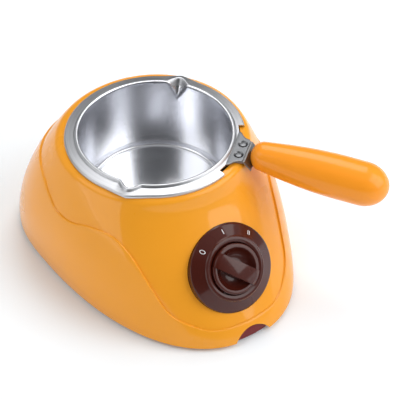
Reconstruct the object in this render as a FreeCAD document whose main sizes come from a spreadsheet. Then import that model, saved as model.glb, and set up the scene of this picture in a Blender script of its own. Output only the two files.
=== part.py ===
# A small electric chocolate fondue pot: an aluminium melting pot with a side handle hangs in a heated well,
# inside a moulded egg-shaped housing with a round heat dial on its sloping front and a pilot lens in its nose.
# Millimetres. The origin is on the table, on the axis of the melting pot. +Z is up, the front faces -Y.
import FreeCAD, Part
import math
import os
import re
import Sketcher

V = FreeCAD.Vector
doc = FreeCAD.newDocument("fondue_pot")

# Driving sizes
SIZES = {
    # Housing, a tapering egg in plan
    "housing_height": 84.0,
    "housing_edge": 2.5,
    "housing_wall": 2.2,
    "belly_half_width": 74.0,
    "belly_height": 24.0,
    "collar_margin": 5.8,
    "collar_back_extra": 2.1,
    "collar_blend": 2.0,
    "nose_reach": 109.7,
    "nose_roll": 2.7,
    "nose_roll_height": 12.0,
    "face_slope": 55.43,
    "back_reach": 93.4,
    "back_bulge": 1.5,
    "widest_at_base": 24.9,
    "widest_at_top": 3.0,
    "front_fullness": 2.25,
    "back_fullness": 2.43,
    "skirt_step": 1.0,
    "skirt_round": 0.6,
    "shoulder_round": 3.0,
    # Bottom cover, feet and posts
    "cover_gap": 0.3,
    "cover_recess": 0.5,
    "cover_thickness": 2.2,
    "foot_radius": 6.5,
    "foot_stem_radius": 2.5,
    "foot_button_radius": 3.4,
    "front_foot_x": 40.0,
    "front_foot_y": 62.0,
    "back_foot_x": 46.0,
    "back_foot_y": 62.0,
    "post_radius": 4.0,
    "screw_radius": 1.6,
    "screw_head_radius": 3.2,
    "screw_head_height": 1.4,
    "screw_length": 12.0,
    "front_post_x": 48.0,
    "front_post_y": 38.0,
    "back_post_x": 56.0,
    "back_post_y": 28.0,
    "rib_thickness": 1.6,
    "vent_length": 22.0,
    "vent_width": 3.0,
    "vent_pitch": 7.0,
    # Heater
    "well_wall": 0.8,
    "well_side_gap": 3.0,
    "well_taper": 1.8,
    "well_waist_drop": 12.0,
    "well_mouth_drop": 7.0,
    "well_flange": 2.0,
    "well_gap": 0.3,
    "heater_radius": 36.0,
    "heater_thickness": 6.0,
    "mica_margin": 2.0,
    "mica_thickness": 1.0,
    "bar_thickness": 1.2,
    "bar_width": 20.0,
    "bar_post_gap": 4.4,
    "stud_radius": 2.0,
    "nut_height": 3.2,
    "nut_radius": 4.0,
    "washer_radius": 5.5,
    "washer_thickness": 1.0,
    "thermostat_radius": 8.5,
    "thermostat_height": 9.0,
    "thermostat_y": 23.0,
    "thermostat_screw_x": 12.5,
    "fuse_radius": 2.0,
    "fuse_length": 14.0,
    "fuse_y": 22.0,
    "small_screw_radius": 1.4,
    "small_head_radius": 2.6,
    # Dial, knob and switch, measured along the normal of the sloping front
    "dial_height": 40.0,
    "dial_radius": 27.1,
    "dial_gap": 0.15,
    "dial_depth": 5.2,
    "dial_wall": 1.5,
    "dial_round": 1.0,
    "dial_crest_width": 3.4,
    "dial_crest_rise": 5.5,
    "dial_crest_dip": 0.3,
    "dial_crest_round": 0.6,
    "knob_radius": 15.3,
    "knob_rise": 7.2,
    "knob_wall": 2.0,
    "knob_gap": 0.5,
    "knob_side_gap": 0.5,
    "knob_angle": 45.0,
    "grip_width": 9.0,
    "grip_rise": 1.6,
    "scoop_radius": 12.4,
    "scoop_depth": 4.4,
    "shaft_radius": 3.0,
    "shaft_gap": 0.05,
    "bush_radius": 4.8,
    "bush_nut_radius": 8.0,
    "bush_nut_height": 2.2,
    "bush_washer_thickness": 0.5,
    "switch_width": 24.0,
    "switch_length": 26.0,
    "switch_depth": 17.0,
    "tag_length": 6.0,
    # Pilot lamp in the nose
    "lens_half_width": 12.0,
    "lens_rise": 6.8,
    "lens_inset": 0.8,
    "lens_lip": 1.4,
    "lamp_radius": 2.6,
    "lamp_length": 16.0,
    "lamp_setback": 18.0,
    # Mains inlet and terminals
    "inlet_height": 16.0,
    "inlet_margin": 1.0,
    "inlet_bore_radius": 3.5,
    "grommet_radius": 5.5,
    "grommet_flange_radius": 8.0,
    "grommet_flange": 2.0,
    "block_length": 34.0,
    "block_width": 15.0,
    "block_height": 12.0,
    "block_y": 58.0,
    "terminal_pitch": 10.0,
    "terminal_radius": 2.2,
    # Melting pot
    "pot_mouth_radius": 46.2,
    "pot_flare": 2.6,
    "pot_depth": 49.5,
    "pot_wall": 1.0,
    "pot_foot": 1.6,
    "pot_corner_round": 4.0,
    "rim_rise": 3.9,
    "bead_lead": 0.8,
    "bead_rise": 1.4,
    "floor_disc_margin": 3.0,
    "floor_draft": 0.4,
    "floor_step": 0.9,
    "spout_room": 5.4,
    "flange_overlap": 3.2,
    "flange_lip": 1.9,
    "flange_chamfer": 0.5,
    "flange_corner": 2.2,
    "corner_spread": 15.0,
    "spout_reach": 5.9,
    "spout_heel": 1.0,
    "spout_half_width": 8.0,
    "spout_depth": 10.5,
    "spout_round": 2.6,
    # Handle, its bracket and rivets, turned about the pot's axis from +X
    "handle_turn": -50.0,
    "handle_droop": 5.7,
    "handle_lift": 3.2,
    "notch_half_angle": 24.4,
    "notch_margin": 4.6,
    "notch_shoulder": 3.0,
    "tab_length": 6.4,
    "tab_half_width": 9.8,
    "tab_root_half_width": 15.0,
    "rivet_set": 2.8,
    "rivet_spread": 4.9,
    "rivet_radius": 1.5,
    "rivet_head_radius": 2.0,
    "bracket_thickness": 1.2,
    "bracket_drop": 6.2,
    "bracket_gap": 0.2,
    "bracket_bend": 0.8,
    "bracket_seat": 4.0,
    "grip_gap": 2.5,
    "grip_length": 85.3,
    "grip_butt_radius": 9.0,
    "grip_full_radius": 13.3,
    "grip_tail_radius": 12.4,
    "grip_full_along": 50.3,
    "grip_tail_length": 9.0,
    "tail_draft": 0.8,
    "butt_round": 8.2,
    "tail_round": 10.5,
    "tang_half_width": 5.0,
    "tang_length": 32.3,
    "grip_screw_along": 24.3,
}

# Sizes that follow from the driving ones
DERIVED = {
    "opening_radius": "pot_mouth_radius + spout_room",
    "collar_radius": "opening_radius + collar_margin",
    "collar_back": "collar_radius + collar_back_extra",
    "cover_low": "housing_edge + cover_recess",
    "cover_top": "cover_low + cover_thickness",
    "ceiling": "housing_height - housing_wall",
    "rim": "housing_height + rim_rise",
    "pot_floor": "rim - pot_depth",
    "pot_base": "pot_floor - floor_step - pot_wall",
    "pot_floor_radius": "pot_mouth_radius - pot_flare",
    "floor_disc_radius": "pot_floor_radius - floor_disc_margin",
    "well_floor": "pot_base - well_gap",
    "well_floor_radius": "pot_floor_radius + well_side_gap",
    "well_waist_radius": "well_floor_radius + well_taper",
    "heater_top": "well_floor - well_wall",
    "heater_low": "heater_top - heater_thickness",
    "mica_radius": "heater_radius - mica_margin",
    "bar_top": "heater_low - mica_thickness",
    "bar_low": "bar_top - bar_thickness",
    "bar_post_x": "opening_radius + bar_post_gap + post_radius",
    "stud_low": "bar_low - washer_thickness - nut_height - stud_radius / 2",
    "dial_y": "nose_reach - dial_height / tan(face_slope)",
    "pocket_radius": "dial_radius + dial_gap",
    "pocket_back": "dial_depth + housing_wall",
    "dial_recess_radius": "knob_radius + knob_side_gap",
    "dial_crest_radius": "dial_recess_radius + dial_crest_width",
    "bush_end": "dial_depth - dial_wall - bush_washer_thickness - bush_nut_height - shaft_radius / 10",
    "knob_base": "dial_depth - dial_wall - knob_gap",
    "knob_roof": "knob_rise - scoop_depth - dial_wall",
    "shaft_top": "knob_rise - dial_wall",
    "lens_radius": "(lens_half_width ^ 2 + lens_rise ^ 2) / (2 * lens_rise)",
    "lens_centre": "housing_edge + lens_rise - lens_radius",
    "lamp_y": "nose_reach - lamp_setback",
    "lamp_height": "cover_top + lamp_radius + rib_thickness / 2",
    "flange_radius": "opening_radius + flange_overlap",
    "notch_radius": "pot_mouth_radius + notch_margin",
    "tab_top": "rim - bead_rise",
    "tab_low": "tab_top - pot_wall",
    "tab_reach": "notch_radius + tab_length",
    "rivet_at": "notch_radius + rivet_set",
    "grip_start": "tab_reach + grip_gap",
    "grip_full_at": "grip_start + grip_full_along",
    "grip_end": "grip_start + grip_length",
    "grip_tail_at": "grip_end - grip_tail_length",
    "grip_screw_at": "grip_start + grip_screw_along",
    "tang_end": "grip_start + tang_length",
    "tang_top": "rim + handle_lift - (grip_start + bracket_seat) * sin(handle_droop) - bracket_drop",
}

sheet = doc.addObject("Spreadsheet::Sheet", "sizes")
for row, (name, value) in enumerate(SIZES.items(), start=1):
    sheet.set(f"A{row}", name)
    sheet.set(f"B{row}", str(value))
    sheet.setAlias(f"B{row}", name)
doc.recompute()


def formula(text):
    """The text with every name of a size pointed at its cell, and every derived name written out."""
    def swap(match):
        word = match.group(0)
        if word in DERIVED:
            return "(" + formula(DERIVED[word]) + ")"
        return "sizes." + word if word in SIZES else word
    return re.sub(r"[a-z][a-z_]*", swap, str(text))


def number(text):
    """The value of a formula, for the shapes that are worked out in code."""
    result = sheet.evalExpression(formula(text))
    return float(getattr(result, "Value", result))


# Places, written as formulas
def at(x=0, y=0, z=0, turn=0):
    return f"placement(vector({x}; {y}; {z}); rotation(vector(0; 0; 1); {turn}))"


def facing_back(x, y, z):
    return f"placement(vector({x}; {y}; {z}); rotation(vector(1; 0; 0); -90))"


def facing_right(x, y, z):
    return f"placement(vector({x}; {y}; {z}); rotation(vector(0; 1; 0); 90))"


def on_dial(x=0, up=0, out=0, turn=0):
    tilt = "placement(vector(0; -(dial_y); dial_height); rotation(vector(1; 0; 0); face_slope))"
    return tilt + " * " + at(x, up, out, turn)


def on_handle_line(x=0, y=0, z=0):
    return at(turn="handle_turn") + " * " + at(x, y, z)


def in_grip(x=0, y=0, z=0):
    tilt = "placement(vector(0; 0; rim + handle_lift);"
    tilt += " rotation(vector(0; 0; 1); handle_turn) * rotation(vector(0; 1; 0); 90 + handle_droop))"
    return tilt + " * " + at(x, y, z)


def bind(thing, **formulas):
    for prop, text in formulas.items():
        thing.setExpression(prop, formula(text))
    return thing


# Plain solids and the ways to join them
def solid(kind, name, place, **formulas):
    thing = doc.addObject("Part::" + kind, name)
    bind(thing, **formulas)
    thing.setExpression(".Placement", formula(place))
    return thing


def rod(name, place, radius, length):
    return solid("Cylinder", name, place, Radius=radius, Height=length)


def block(name, x, y, z, length, width, height, place="{}"):
    corner = at(f"{x} - ({length}) / 2", f"{y} - ({width}) / 2", z)
    return solid("Box", name, place.format(corner), Length=length, Width=width, Height=height)


def fuse(name, *things):
    thing = doc.addObject("Part::MultiFuse", name)
    thing.Shapes = list(things)
    return thing


def common(name, *things):
    thing = doc.addObject("Part::MultiCommon", name)
    thing.Shapes = list(things)
    return thing


def cut(name, base, *tools):
    thing = doc.addObject("Part::Cut", name)
    thing.Base = base
    thing.Tool = tools[0] if len(tools) == 1 else fuse(name + "_tools", *tools)
    return thing


def rounded(name, base, radius, test):
    """The base with a fillet on each edge that passes the test."""
    doc.recompute()
    thing = doc.addObject("Part::Fillet", name)
    thing.Base = base
    size = number(radius)
    picked = [i for i, edge in enumerate(base.Shape.Edges, start=1) if test(edge)]
    thing.Edges = [(i, size, size) for i in picked]
    return thing


# Sketched solids
def origin_plane(body, role):
    return [item for item in body.Origin.OriginFeatures if item.Role == role][0]


def sketch(body, plane, points, lift="0"):
    """A closed outline whose corners are (across, up) pairs of formulas."""
    drawing = body.newObject("Sketcher::SketchObject", body.Name + "_outline")
    drawing.AttachmentSupport = [(origin_plane(body, plane), "")]
    drawing.MapMode = "FlatFace"
    drawing.setExpression(".AttachmentOffset.Base.z", formula(lift))
    spots = [V(number(across), number(up), 0) for across, up in points]
    for i, spot in enumerate(spots):
        drawing.addGeometry(Part.LineSegment(spot, spots[(i + 1) % len(spots)]), False)
    for i, (across, up) in enumerate(points):
        drawing.addConstraint(Sketcher.Constraint("Coincident", i, 2, (i + 1) % len(spots), 1))
        place_x = drawing.addConstraint(Sketcher.Constraint("DistanceX", -1, 1, i, 1, spots[i].x))
        place_y = drawing.addConstraint(Sketcher.Constraint("DistanceY", -1, 1, i, 1, spots[i].y))
        drawing.setExpression(f"Constraints[{place_x}]", formula(across))
        drawing.setExpression(f"Constraints[{place_y}]", formula(up))
    return drawing


def new_body(name, place):
    body = doc.addObject("PartDesign::Body", name)
    body.setExpression(".Placement", formula(place))
    return body


def turned(name, points, place=at()):
    """A body turned about its own Z axis from (radius, height) corners."""
    body = new_body(name, place)
    profile = sketch(body, "XZ_Plane", points)
    turn = body.newObject("PartDesign::Revolution", name + "_turn")
    turn.Profile = profile
    turn.ReferenceAxis = (profile, ["V_Axis"])
    turn.Angle = 360
    doc.recompute()
    return body


def pad(name, plane, points, length, place=at(), lift="0", both_ways=False):
    body = new_body(name, place)
    profile = sketch(body, plane, points, lift)
    plate = body.newObject("PartDesign::Pad", name + "_pad")
    plate.Profile = profile
    plate.Midplane = both_ways
    bind(plate, Length=length)
    doc.recompute()
    return body


def round_off(body, radius, test):
    """Adds a fillet to a body, on each edge that passes the test."""
    base = body.Tip
    names = [f"Edge{i}" for i, edge in enumerate(base.Shape.Edges, start=1) if test(edge)]
    fillet = body.newObject("PartDesign::Fillet", body.Name + "_round")
    fillet.Base = (base, names)
    bind(fillet, Radius=radius)
    doc.recompute()


def ring_at(radius, height, slack=0.05):
    """A test for the round edge of that radius and height about the body's own Z axis."""
    r, z = number(radius), number(height)

    def test(edge):
        curve = edge.Curve
        if curve.TypeId != "Part::GeomCircle":
            return False
        return abs(curve.Radius - r) < slack and abs(curve.Center.z - z) < slack
    return test


def both_sides(x):
    return [("right", f"{x}"), ("left", f"-({x})")]


# The housing's form: each level is an egg made of two half superellipses
STATIONS = (0.0, 0.07, 0.18, 0.40, 0.65, 0.82, 0.91, 1.0)
AROUND = 24


def level(height, inset):
    """The egg's half width, front reach, back reach and widest place at a height, moved in by inset."""
    share = height / number("housing_height")
    drop = (height - number("belly_height")) / number("housing_height - belly_height")
    half_width = number("belly_half_width") - number("belly_half_width - collar_radius") * drop ** 2
    slope = math.radians(number("face_slope"))
    collar, blend = number("collar_radius"), number("collar_blend")
    overhang = number("nose_reach") - height / math.tan(slope) - collar
    front = collar + blend * math.log(1 + math.exp(overhang / blend))
    roll = max(0.0, 1 - height / number("nose_roll_height"))
    front = front - number("nose_roll") * roll ** 2
    back = number("back_reach") + number("collar_back - back_reach") * share
    back = back + 4 * number("back_bulge") * share * (1 - share)
    widest = number("widest_at_base") + number("widest_at_top - widest_at_base") * share
    return half_width - inset, front - inset / math.sin(slope), back - inset, widest


def egg(height, inset):
    """The closed curve of the housing at a height."""
    half_width, front, back, widest = level(height, inset)
    share = min(1.0, max(0.0, height / number("housing_height")))
    spots = []
    for i in range(AROUND):
        angle = 2 * math.pi * i / AROUND
        across, along = math.cos(angle), math.sin(angle)
        fullness = number("front_fullness") if along < 0 else number("back_fullness")
        fullness = 2 + (fullness - 2) * (1 - share ** 6)
        reach = front + widest if along < 0 else back - widest
        x = half_width * math.copysign(abs(across) ** (2 / fullness), across)
        y = widest + reach * math.copysign(abs(along) ** (2 / fullness), along)
        spots.append(V(x, y, height))
    curve = Part.BSplineCurve()
    curve.interpolate(Points=spots, PeriodicFlag=True)
    return Part.Wire([curve.toShape()])


def housing_form(name, inset, low, high):
    """A solid of the housing's form, moved in by inset, between two heights."""
    low, high, inset = number(low), number(high), number(inset)
    sections = []
    for i, share in enumerate(STATIONS):
        section = doc.addObject("Part::Feature", f"{name}_section")
        section.Shape = egg(low + (high - low) * share, inset)
        sections.append(section)
    thing = doc.addObject("Part::Loft", name)
    thing.Sections = sections
    thing.Solid = True
    doc.recompute()
    return thing


# The step line of the skirt on each side: shares of the nose reach and of the housing height
WAVE = (
    (-1.05, 0.137), (-0.91, 0.146), (-0.823, 0.195), (-0.731, 0.268), (-0.627, 0.421), (-0.488, 0.625),
    (-0.407, 0.706), (-0.335, 0.742), (-0.217, 0.730), (-0.116, 0.684), (0.02, 0.675), (0.12, 0.730),
    (0.22, 0.785), (0.34, 0.805), (0.60, 0.800), (0.95, 0.800),
)


def wave_prism():
    """Everything under the step line, right across the housing."""
    reach, tall = number("nose_reach"), number("housing_height")
    half = number("belly_half_width + collar_radius")
    spots = [V(-half, y * reach, z * tall) for y, z in WAVE]
    crest = Part.BSplineCurve()
    crest.interpolate(spots)
    floor = -tall / 10
    corners = [spots[-1], V(-half, spots[-1].y, floor), V(-half, spots[0].y, floor), spots[0]]
    edges = [crest.toShape()] + [Part.makeLine(a, b) for a, b in zip(corners, corners[1:])]
    face = doc.addObject("Part::Feature", "wave_face")
    face.Shape = Part.Face(Part.Wire(edges))
    prism = doc.addObject("Part::Extrusion", "wave_prism")
    prism.Base = face
    prism.Dir = V(1, 0, 0)
    prism.Solid = True
    bind(prism, LengthFwd="2 * (belly_half_width + collar_radius)")
    return prism


def posts():
    """The screw posts that hang inside the housing: four for the cover and two for the heater's bar."""
    made = []
    for side, x in both_sides("front_post_x"):
        made.append(rod(f"front_post_{side}", at(x, "-front_post_y", "cover_top"), "post_radius", "ceiling"))
    for side, x in both_sides("back_post_x"):
        made.append(rod(f"back_post_{side}", at(x, "back_post_y", "cover_top"), "post_radius", "ceiling"))
    for side, x in both_sides("bar_post_x"):
        made.append(rod(f"bar_post_{side}", at(x, 0, "bar_top"), "post_radius", "ceiling - bar_top"))
        out = f"({x}) * (belly_half_width + bar_post_x) / (2 * bar_post_x)"
        made.append(block(f"bar_rib_{side}", out, 0, "bar_top + post_radius",
                          "belly_half_width - bar_post_x", "rib_thickness", "ceiling - bar_top - post_radius"))
    return made


def pilot_holes():
    made = []
    deep = "screw_length"
    for side, x in both_sides("front_post_x"):
        made.append(rod(f"front_pilot_{side}", at(x, "-front_post_y", "cover_low"), "screw_radius", deep))
    for side, x in both_sides("back_post_x"):
        made.append(rod(f"back_pilot_{side}", at(x, "back_post_y", "cover_low"), "screw_radius", deep))
    for side, x in both_sides("bar_post_x"):
        made.append(rod(f"bar_pilot_{side}", at(x, 0, "bar_low"), "screw_radius", deep))
    return made


def inlet_face():
    """How far back the flat seat around the mains inlet stands."""
    top_of_seat = number("inlet_height + grommet_flange_radius + inlet_margin")
    return level(top_of_seat, 0)[2] - number("skirt_step") / 2


def upper_housing():
    outer = housing_form("outer_form", "0", "housing_edge", "housing_height")
    top = number("housing_height")
    outer = rounded("outer_shoulder", outer, "shoulder_round", lambda e: e.BoundBox.ZMin > top - 0.1)
    grown = housing_form("skirt_form", "-skirt_step", "housing_edge", "housing_height")
    skirt = common("skirt", grown, wave_prism())
    low = number("housing_edge")
    skirt = rounded("skirt_edges", skirt, "skirt_round",
                    lambda e: e.BoundBox.ZMin > low + 0.1 and e.BoundBox.ZLength > 1 and e.Length > top)
    hollow = housing_form("hollow_form", "housing_wall", "housing_edge - housing_wall", "ceiling")
    cup = rod("dial_cup", on_dial(out="-(pocket_back)"), "pocket_radius + housing_wall", "3 * pocket_back")
    seat = inlet_face()
    inlet = rod("inlet_boss", facing_back(0, f"{seat} - grommet_flange", "inlet_height"),
                "grommet_flange_radius + housing_wall", "back_reach")
    well_room = rod("well_room", at(z="well_floor"), "opening_radius + 2 * well_wall", "ceiling")
    inside = cut("inside_parts", fuse("inside_raw", cup, inlet, *posts()), well_room)
    wall_middle = housing_form("wall_middle", "housing_wall / 2", "housing_edge - housing_wall",
                               "ceiling + housing_wall / 2")
    skin = cut("skin", fuse("housing_block", outer, skirt), hollow)
    shell = fuse("shell", skin, common("rooted_parts", inside, wall_middle))
    arch = rod("lens_arch", facing_back(0, "-(nose_reach) - skirt_step * 4", "lens_centre"),
               "lens_radius", "lens_half_width * 2")
    flat = rod("inlet_flat", facing_back(0, seat, "inlet_height"), "grommet_flange_radius + cover_gap",
               "back_reach")
    bore = rod("inlet_hole", facing_back(0, f"{seat} - back_reach / 4", "inlet_height"), "grommet_radius",
               "back_reach / 2")
    mouth = rod("opening", at(z="ceiling - housing_wall"), "opening_radius", "3 * housing_wall")
    pocket = rod("dial_pocket", on_dial(out="-dial_depth"), "pocket_radius", "dial_depth * 4")
    bush = rod("bush_hole", on_dial(out="-2 * pocket_back"), "bush_radius", "3 * pocket_back")
    return cut("upper_housing", shell, arch, flat, bore, mouth, pocket, bush, *pilot_holes())


def bottom_cover():
    slab = block("cover_slab", 0, 0, "cover_low", "4 * nose_reach", "4 * nose_reach", "cover_thickness")
    form = housing_form("cover_form", "housing_wall + cover_gap", "0", "cover_top + cover_thickness")
    plate = common("cover_plate", form, slab)
    tools = [block("cover_nose", 0, "-(nose_reach)", "0", "2 * (lens_radius + 3 * lens_lip)",
                   "2 * (lamp_setback - 3 * lamp_radius)", "housing_height / 4")]
    for row in range(5):
        for side, x in both_sides("vent_length * 0.8"):
            place = f"(vent_pitch * {row - 2})"
            tools.append(block(f"vent_{row}_{side}", x, place, "0", "vent_length", "vent_width",
                               "housing_height / 4"))
    for name, x, y in cover_screw_places():
        tools.append(rod(f"cover_hole_{name}", at(x, y, "0"), "screw_radius + cover_gap", "housing_height / 4"))
        tools.append(rod(f"cover_sink_{name}", at(x, y, "0"), "screw_head_radius + cover_gap",
                         "cover_low + screw_head_height"))
    for name, x, y in foot_places():
        tools.append(rod(f"cover_foot_{name}", at(x, y, "0"), "foot_stem_radius", "housing_height / 4"))
    return cut("bottom_cover", plate, *tools)


def cover_screw_places():
    front = [("front_" + side, x, "-front_post_y") for side, x in both_sides("front_post_x")]
    return front + [("back_" + side, x, "back_post_y") for side, x in both_sides("back_post_x")]


def foot_places():
    front = [("front_" + side, x, "-front_foot_y") for side, x in both_sides("front_foot_x")]
    return front + [("rear_" + side, x, "back_foot_y") for side, x in both_sides("back_foot_x")]


def feet():
    """Rubber feet, each with a stem pushed through the cover and a button that holds it."""
    made = []
    for name, x, y in foot_places():
        corners = [("0", "0"), ("foot_radius", "0"), ("foot_radius", "cover_low"),
                   ("foot_stem_radius", "cover_low"), ("foot_stem_radius", "cover_top"),
                   ("foot_button_radius", "cover_top"), ("foot_stem_radius", "cover_top + foot_stem_radius"),
                   ("0", "cover_top + foot_stem_radius")]
        foot = turned("foot_" + name, corners, at(x, y, "0"))
        round_off(foot, "cover_low / 3", ring_at("foot_radius", "0"))
        made.append(foot)
    return made


def pan_screw(name, place, shank, head, length, head_height):
    """A screw that points up: its head starts at the place, and its shank ends length above that."""
    stem = rod(name + "_shank", place, shank, length)
    return fuse(name, rod(name + "_head", place, head, head_height), stem)


def cover_screws():
    made = [pan_screw("cover_screw_" + name, at(x, y, "cover_low"), "screw_radius", "screw_head_radius",
                      "screw_length", "screw_head_height") for name, x, y in cover_screw_places()]
    return fuse("cover_screws", *made)


def heater_well():
    inside = [("well_floor_radius", "well_floor"), ("well_waist_radius", "housing_height - well_waist_drop"),
              ("opening_radius", "housing_height - well_mouth_drop"), ("opening_radius", "ceiling")]
    outside = [("opening_radius + well_flange + well_wall", "ceiling"),
               ("opening_radius + well_flange + well_wall", "ceiling - well_wall"),
               ("opening_radius + well_wall", "ceiling - well_wall"),
               ("opening_radius + well_wall", "housing_height - well_mouth_drop - well_wall / 2"),
               ("well_waist_radius + well_wall", "housing_height - well_waist_drop - well_wall / 2"),
               ("well_floor_radius + well_wall", "heater_top")]
    well = turned("heater_well", [("0", "well_floor")] + inside + outside + [("0", "heater_top")])
    round_off(well, "4 * well_wall", ring_at("well_floor_radius", "well_floor"))
    round_off(well, "5 * well_wall", ring_at("well_floor_radius + well_wall", "heater_top"))
    return well


def heating_disc():
    """The cast heating plate: a disc with the ring of its element standing out below, and a stud."""
    ring = "heater_radius * 0.72"
    disc = turned("heater_casting", [
        ("0", "heater_top"), ("heater_radius", "heater_top"),
        ("heater_radius", "heater_low + heater_thickness / 3"),
        ("heater_radius - heater_thickness / 3", "heater_low"), ("stud_radius", "heater_low"),
        ("stud_radius", "stud_low"), ("0", "stud_low")])
    tags = []
    for side, x in both_sides("heater_radius * 0.25"):
        tags.append(block(f"heater_tag_{side}", x, f"{ring} + heater_thickness * 2",
                          "heater_low + heater_thickness / 2", "heater_thickness", "heater_thickness * 2",
                          "well_wall"))
    sockets = [rod(f"thermostat_socket_{side}", at(x, "thermostat_y", "heater_low"), "small_screw_radius",
                   "heater_thickness * 0.6") for side, x in both_sides("thermostat_screw_x")]
    sockets.append(rod("fuse_socket", at("thermostat_screw_x", "-fuse_y", "heater_low"), "small_screw_radius",
                       "heater_thickness * 0.6"))
    return cut("heating_disc", fuse("heater_with_tags", disc, *tags), *sockets)


def mica_insulator():
    disc = rod("mica_disc", at(z="bar_top"), "mica_radius", "mica_thickness")
    holes = [rod("mica_centre", at(z="0"), "stud_radius + cover_gap", "housing_height"),
             rod("mica_window", at(0, "thermostat_y", "0"), "thermostat_radius + cover_gap", "housing_height")]
    holes += [rod(f"mica_hole_{side}", at(x, "thermostat_y", "0"), "small_screw_radius + well_gap / 2",
                  "housing_height") for side, x in both_sides("thermostat_screw_x")]
    holes.append(rod("mica_fuse_hole", at("thermostat_screw_x", "-fuse_y", "0"),
                     "small_screw_radius + well_gap / 2", "housing_height"))
    return cut("mica_insulator", disc, *holes)


def heater_bar():
    """The pressed bar that holds the heater up against the well, screwed to two long posts."""
    length = "2 * (bar_post_x + post_radius)"
    flat = pad("bar_blank", "XY_Plane", [
        (f"-({length}) / 2", "-post_radius"), ("-heater_radius", "-bar_width / 2"),
        ("heater_radius", "-bar_width / 2"), (f"({length}) / 2", "-post_radius"),
        (f"({length}) / 2", "post_radius"), ("heater_radius", "bar_width / 2"),
        ("-heater_radius", "bar_width / 2"), (f"-({length}) / 2", "post_radius")],
        "bar_thickness", lift="bar_low")
    round_off(flat, "post_radius * 0.6", lambda e: e.BoundBox.ZLength > 0.5 * number("bar_thickness"))
    holes = [rod("bar_centre_hole", at(z="0"), "stud_radius", "housing_height")]
    holes += [rod(f"bar_hole_{side}", at(x, 0, "0"), "screw_radius", "housing_height")
              for side, x in both_sides("bar_post_x")]
    return cut("heater_bar", flat, *holes)


def bar_screws():
    made = [pan_screw(f"bar_screw_{side}", at(x, 0, "bar_low - screw_head_height"), "screw_radius",
                      "screw_head_radius", "screw_length", "screw_head_height")
            for side, x in both_sides("bar_post_x")]
    return fuse("bar_screws", *made)


def stud_washer():
    disc = rod("stud_washer_disc", at(z="bar_low - washer_thickness"), "washer_radius", "washer_thickness")
    return cut("stud_washer", disc, rod("stud_washer_hole", at(z="0"), "stud_radius", "housing_height"))


def hexagon(name, place, radius, height):
    return solid("Prism", name, place, Polygon="6", Circumradius=radius, Height=height)


def stud_nut():
    nut = hexagon("stud_nut_blank", at(z="bar_low - washer_thickness - nut_height"), "nut_radius", "nut_height")
    return cut("stud_nut", nut, rod("stud_nut_hole", at(z="0"), "stud_radius", "housing_height"))


def thermostat():
    """A snap-disc cut-out: its cap touches the heating plate through the mica's window."""
    cap = rod("thermostat_cap", at(0, "thermostat_y", "heater_low - mica_thickness - thermostat_height / 3"),
              "thermostat_radius", "mica_thickness + thermostat_height / 3")
    body = rod("thermostat_body", at(0, "thermostat_y", "bar_top - thermostat_height"),
               "thermostat_radius * 0.82", "thermostat_height")
    plate = block("thermostat_plate", 0, "thermostat_y", "bar_top - well_wall",
                  "2 * (thermostat_screw_x + small_head_radius)", "thermostat_radius", "well_wall")
    parts = [cap, body, plate]
    for side, x in both_sides("thermostat_radius * 0.45"):
        parts.append(block(f"thermostat_tag_{side}", x, "thermostat_y", "bar_top - thermostat_height - tag_length",
                           "well_wall", "tag_length * 0.8", "tag_length * 1.1"))
    holes = [rod(f"thermostat_hole_{side}", at(x, "thermostat_y", "0"), "small_screw_radius", "housing_height")
             for side, x in both_sides("thermostat_screw_x")]
    return cut("thermostat", fuse("thermostat_solid", *parts), *holes)


def small_screw(name, x, y, top):
    return pan_screw(name, at(x, y, f"{top} - small_head_radius / 2"), "small_screw_radius",
                     "small_head_radius", "small_head_radius / 2 + mica_thickness + heater_thickness / 2",
                     "small_head_radius / 2")


def thermostat_screws():
    made = [small_screw(f"thermostat_screw_{side}", x, "thermostat_y", "bar_top - well_wall")
            for side, x in both_sides("thermostat_screw_x")]
    return fuse("thermostat_screws", *made)


def thermal_fuse():
    return rod("thermal_fuse", facing_right("-fuse_length / 2", "-fuse_y", "bar_top - fuse_radius - well_wall"),
               "fuse_radius", "fuse_length")


def fuse_clip():
    """A saddle strap round the thermal fuse, with one ear for its screw."""
    middle = "bar_top - fuse_radius - well_wall"
    sleeve = rod("clip_sleeve", facing_right("-fuse_length / 4", "-fuse_y", middle),
                 "fuse_radius + well_wall", "fuse_length / 2")
    ear = block("clip_ear", "thermostat_screw_x / 2", "-fuse_y", "bar_top - well_wall",
                "thermostat_screw_x + 2 * small_head_radius", "fuse_length / 2.5", "well_wall")
    bore = rod("clip_bore", facing_right("-fuse_length", "-fuse_y", middle), "fuse_radius", "2 * fuse_length")
    hole = rod("clip_hole", at("thermostat_screw_x", "-fuse_y", "0"), "small_screw_radius", "housing_height")
    return cut("fuse_clip", fuse("clip_solid", sleeve, ear), bore, hole)


def fuse_screw():
    return small_screw("fuse_screw", "thermostat_screw_x", "-fuse_y", "bar_top - well_wall")


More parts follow.
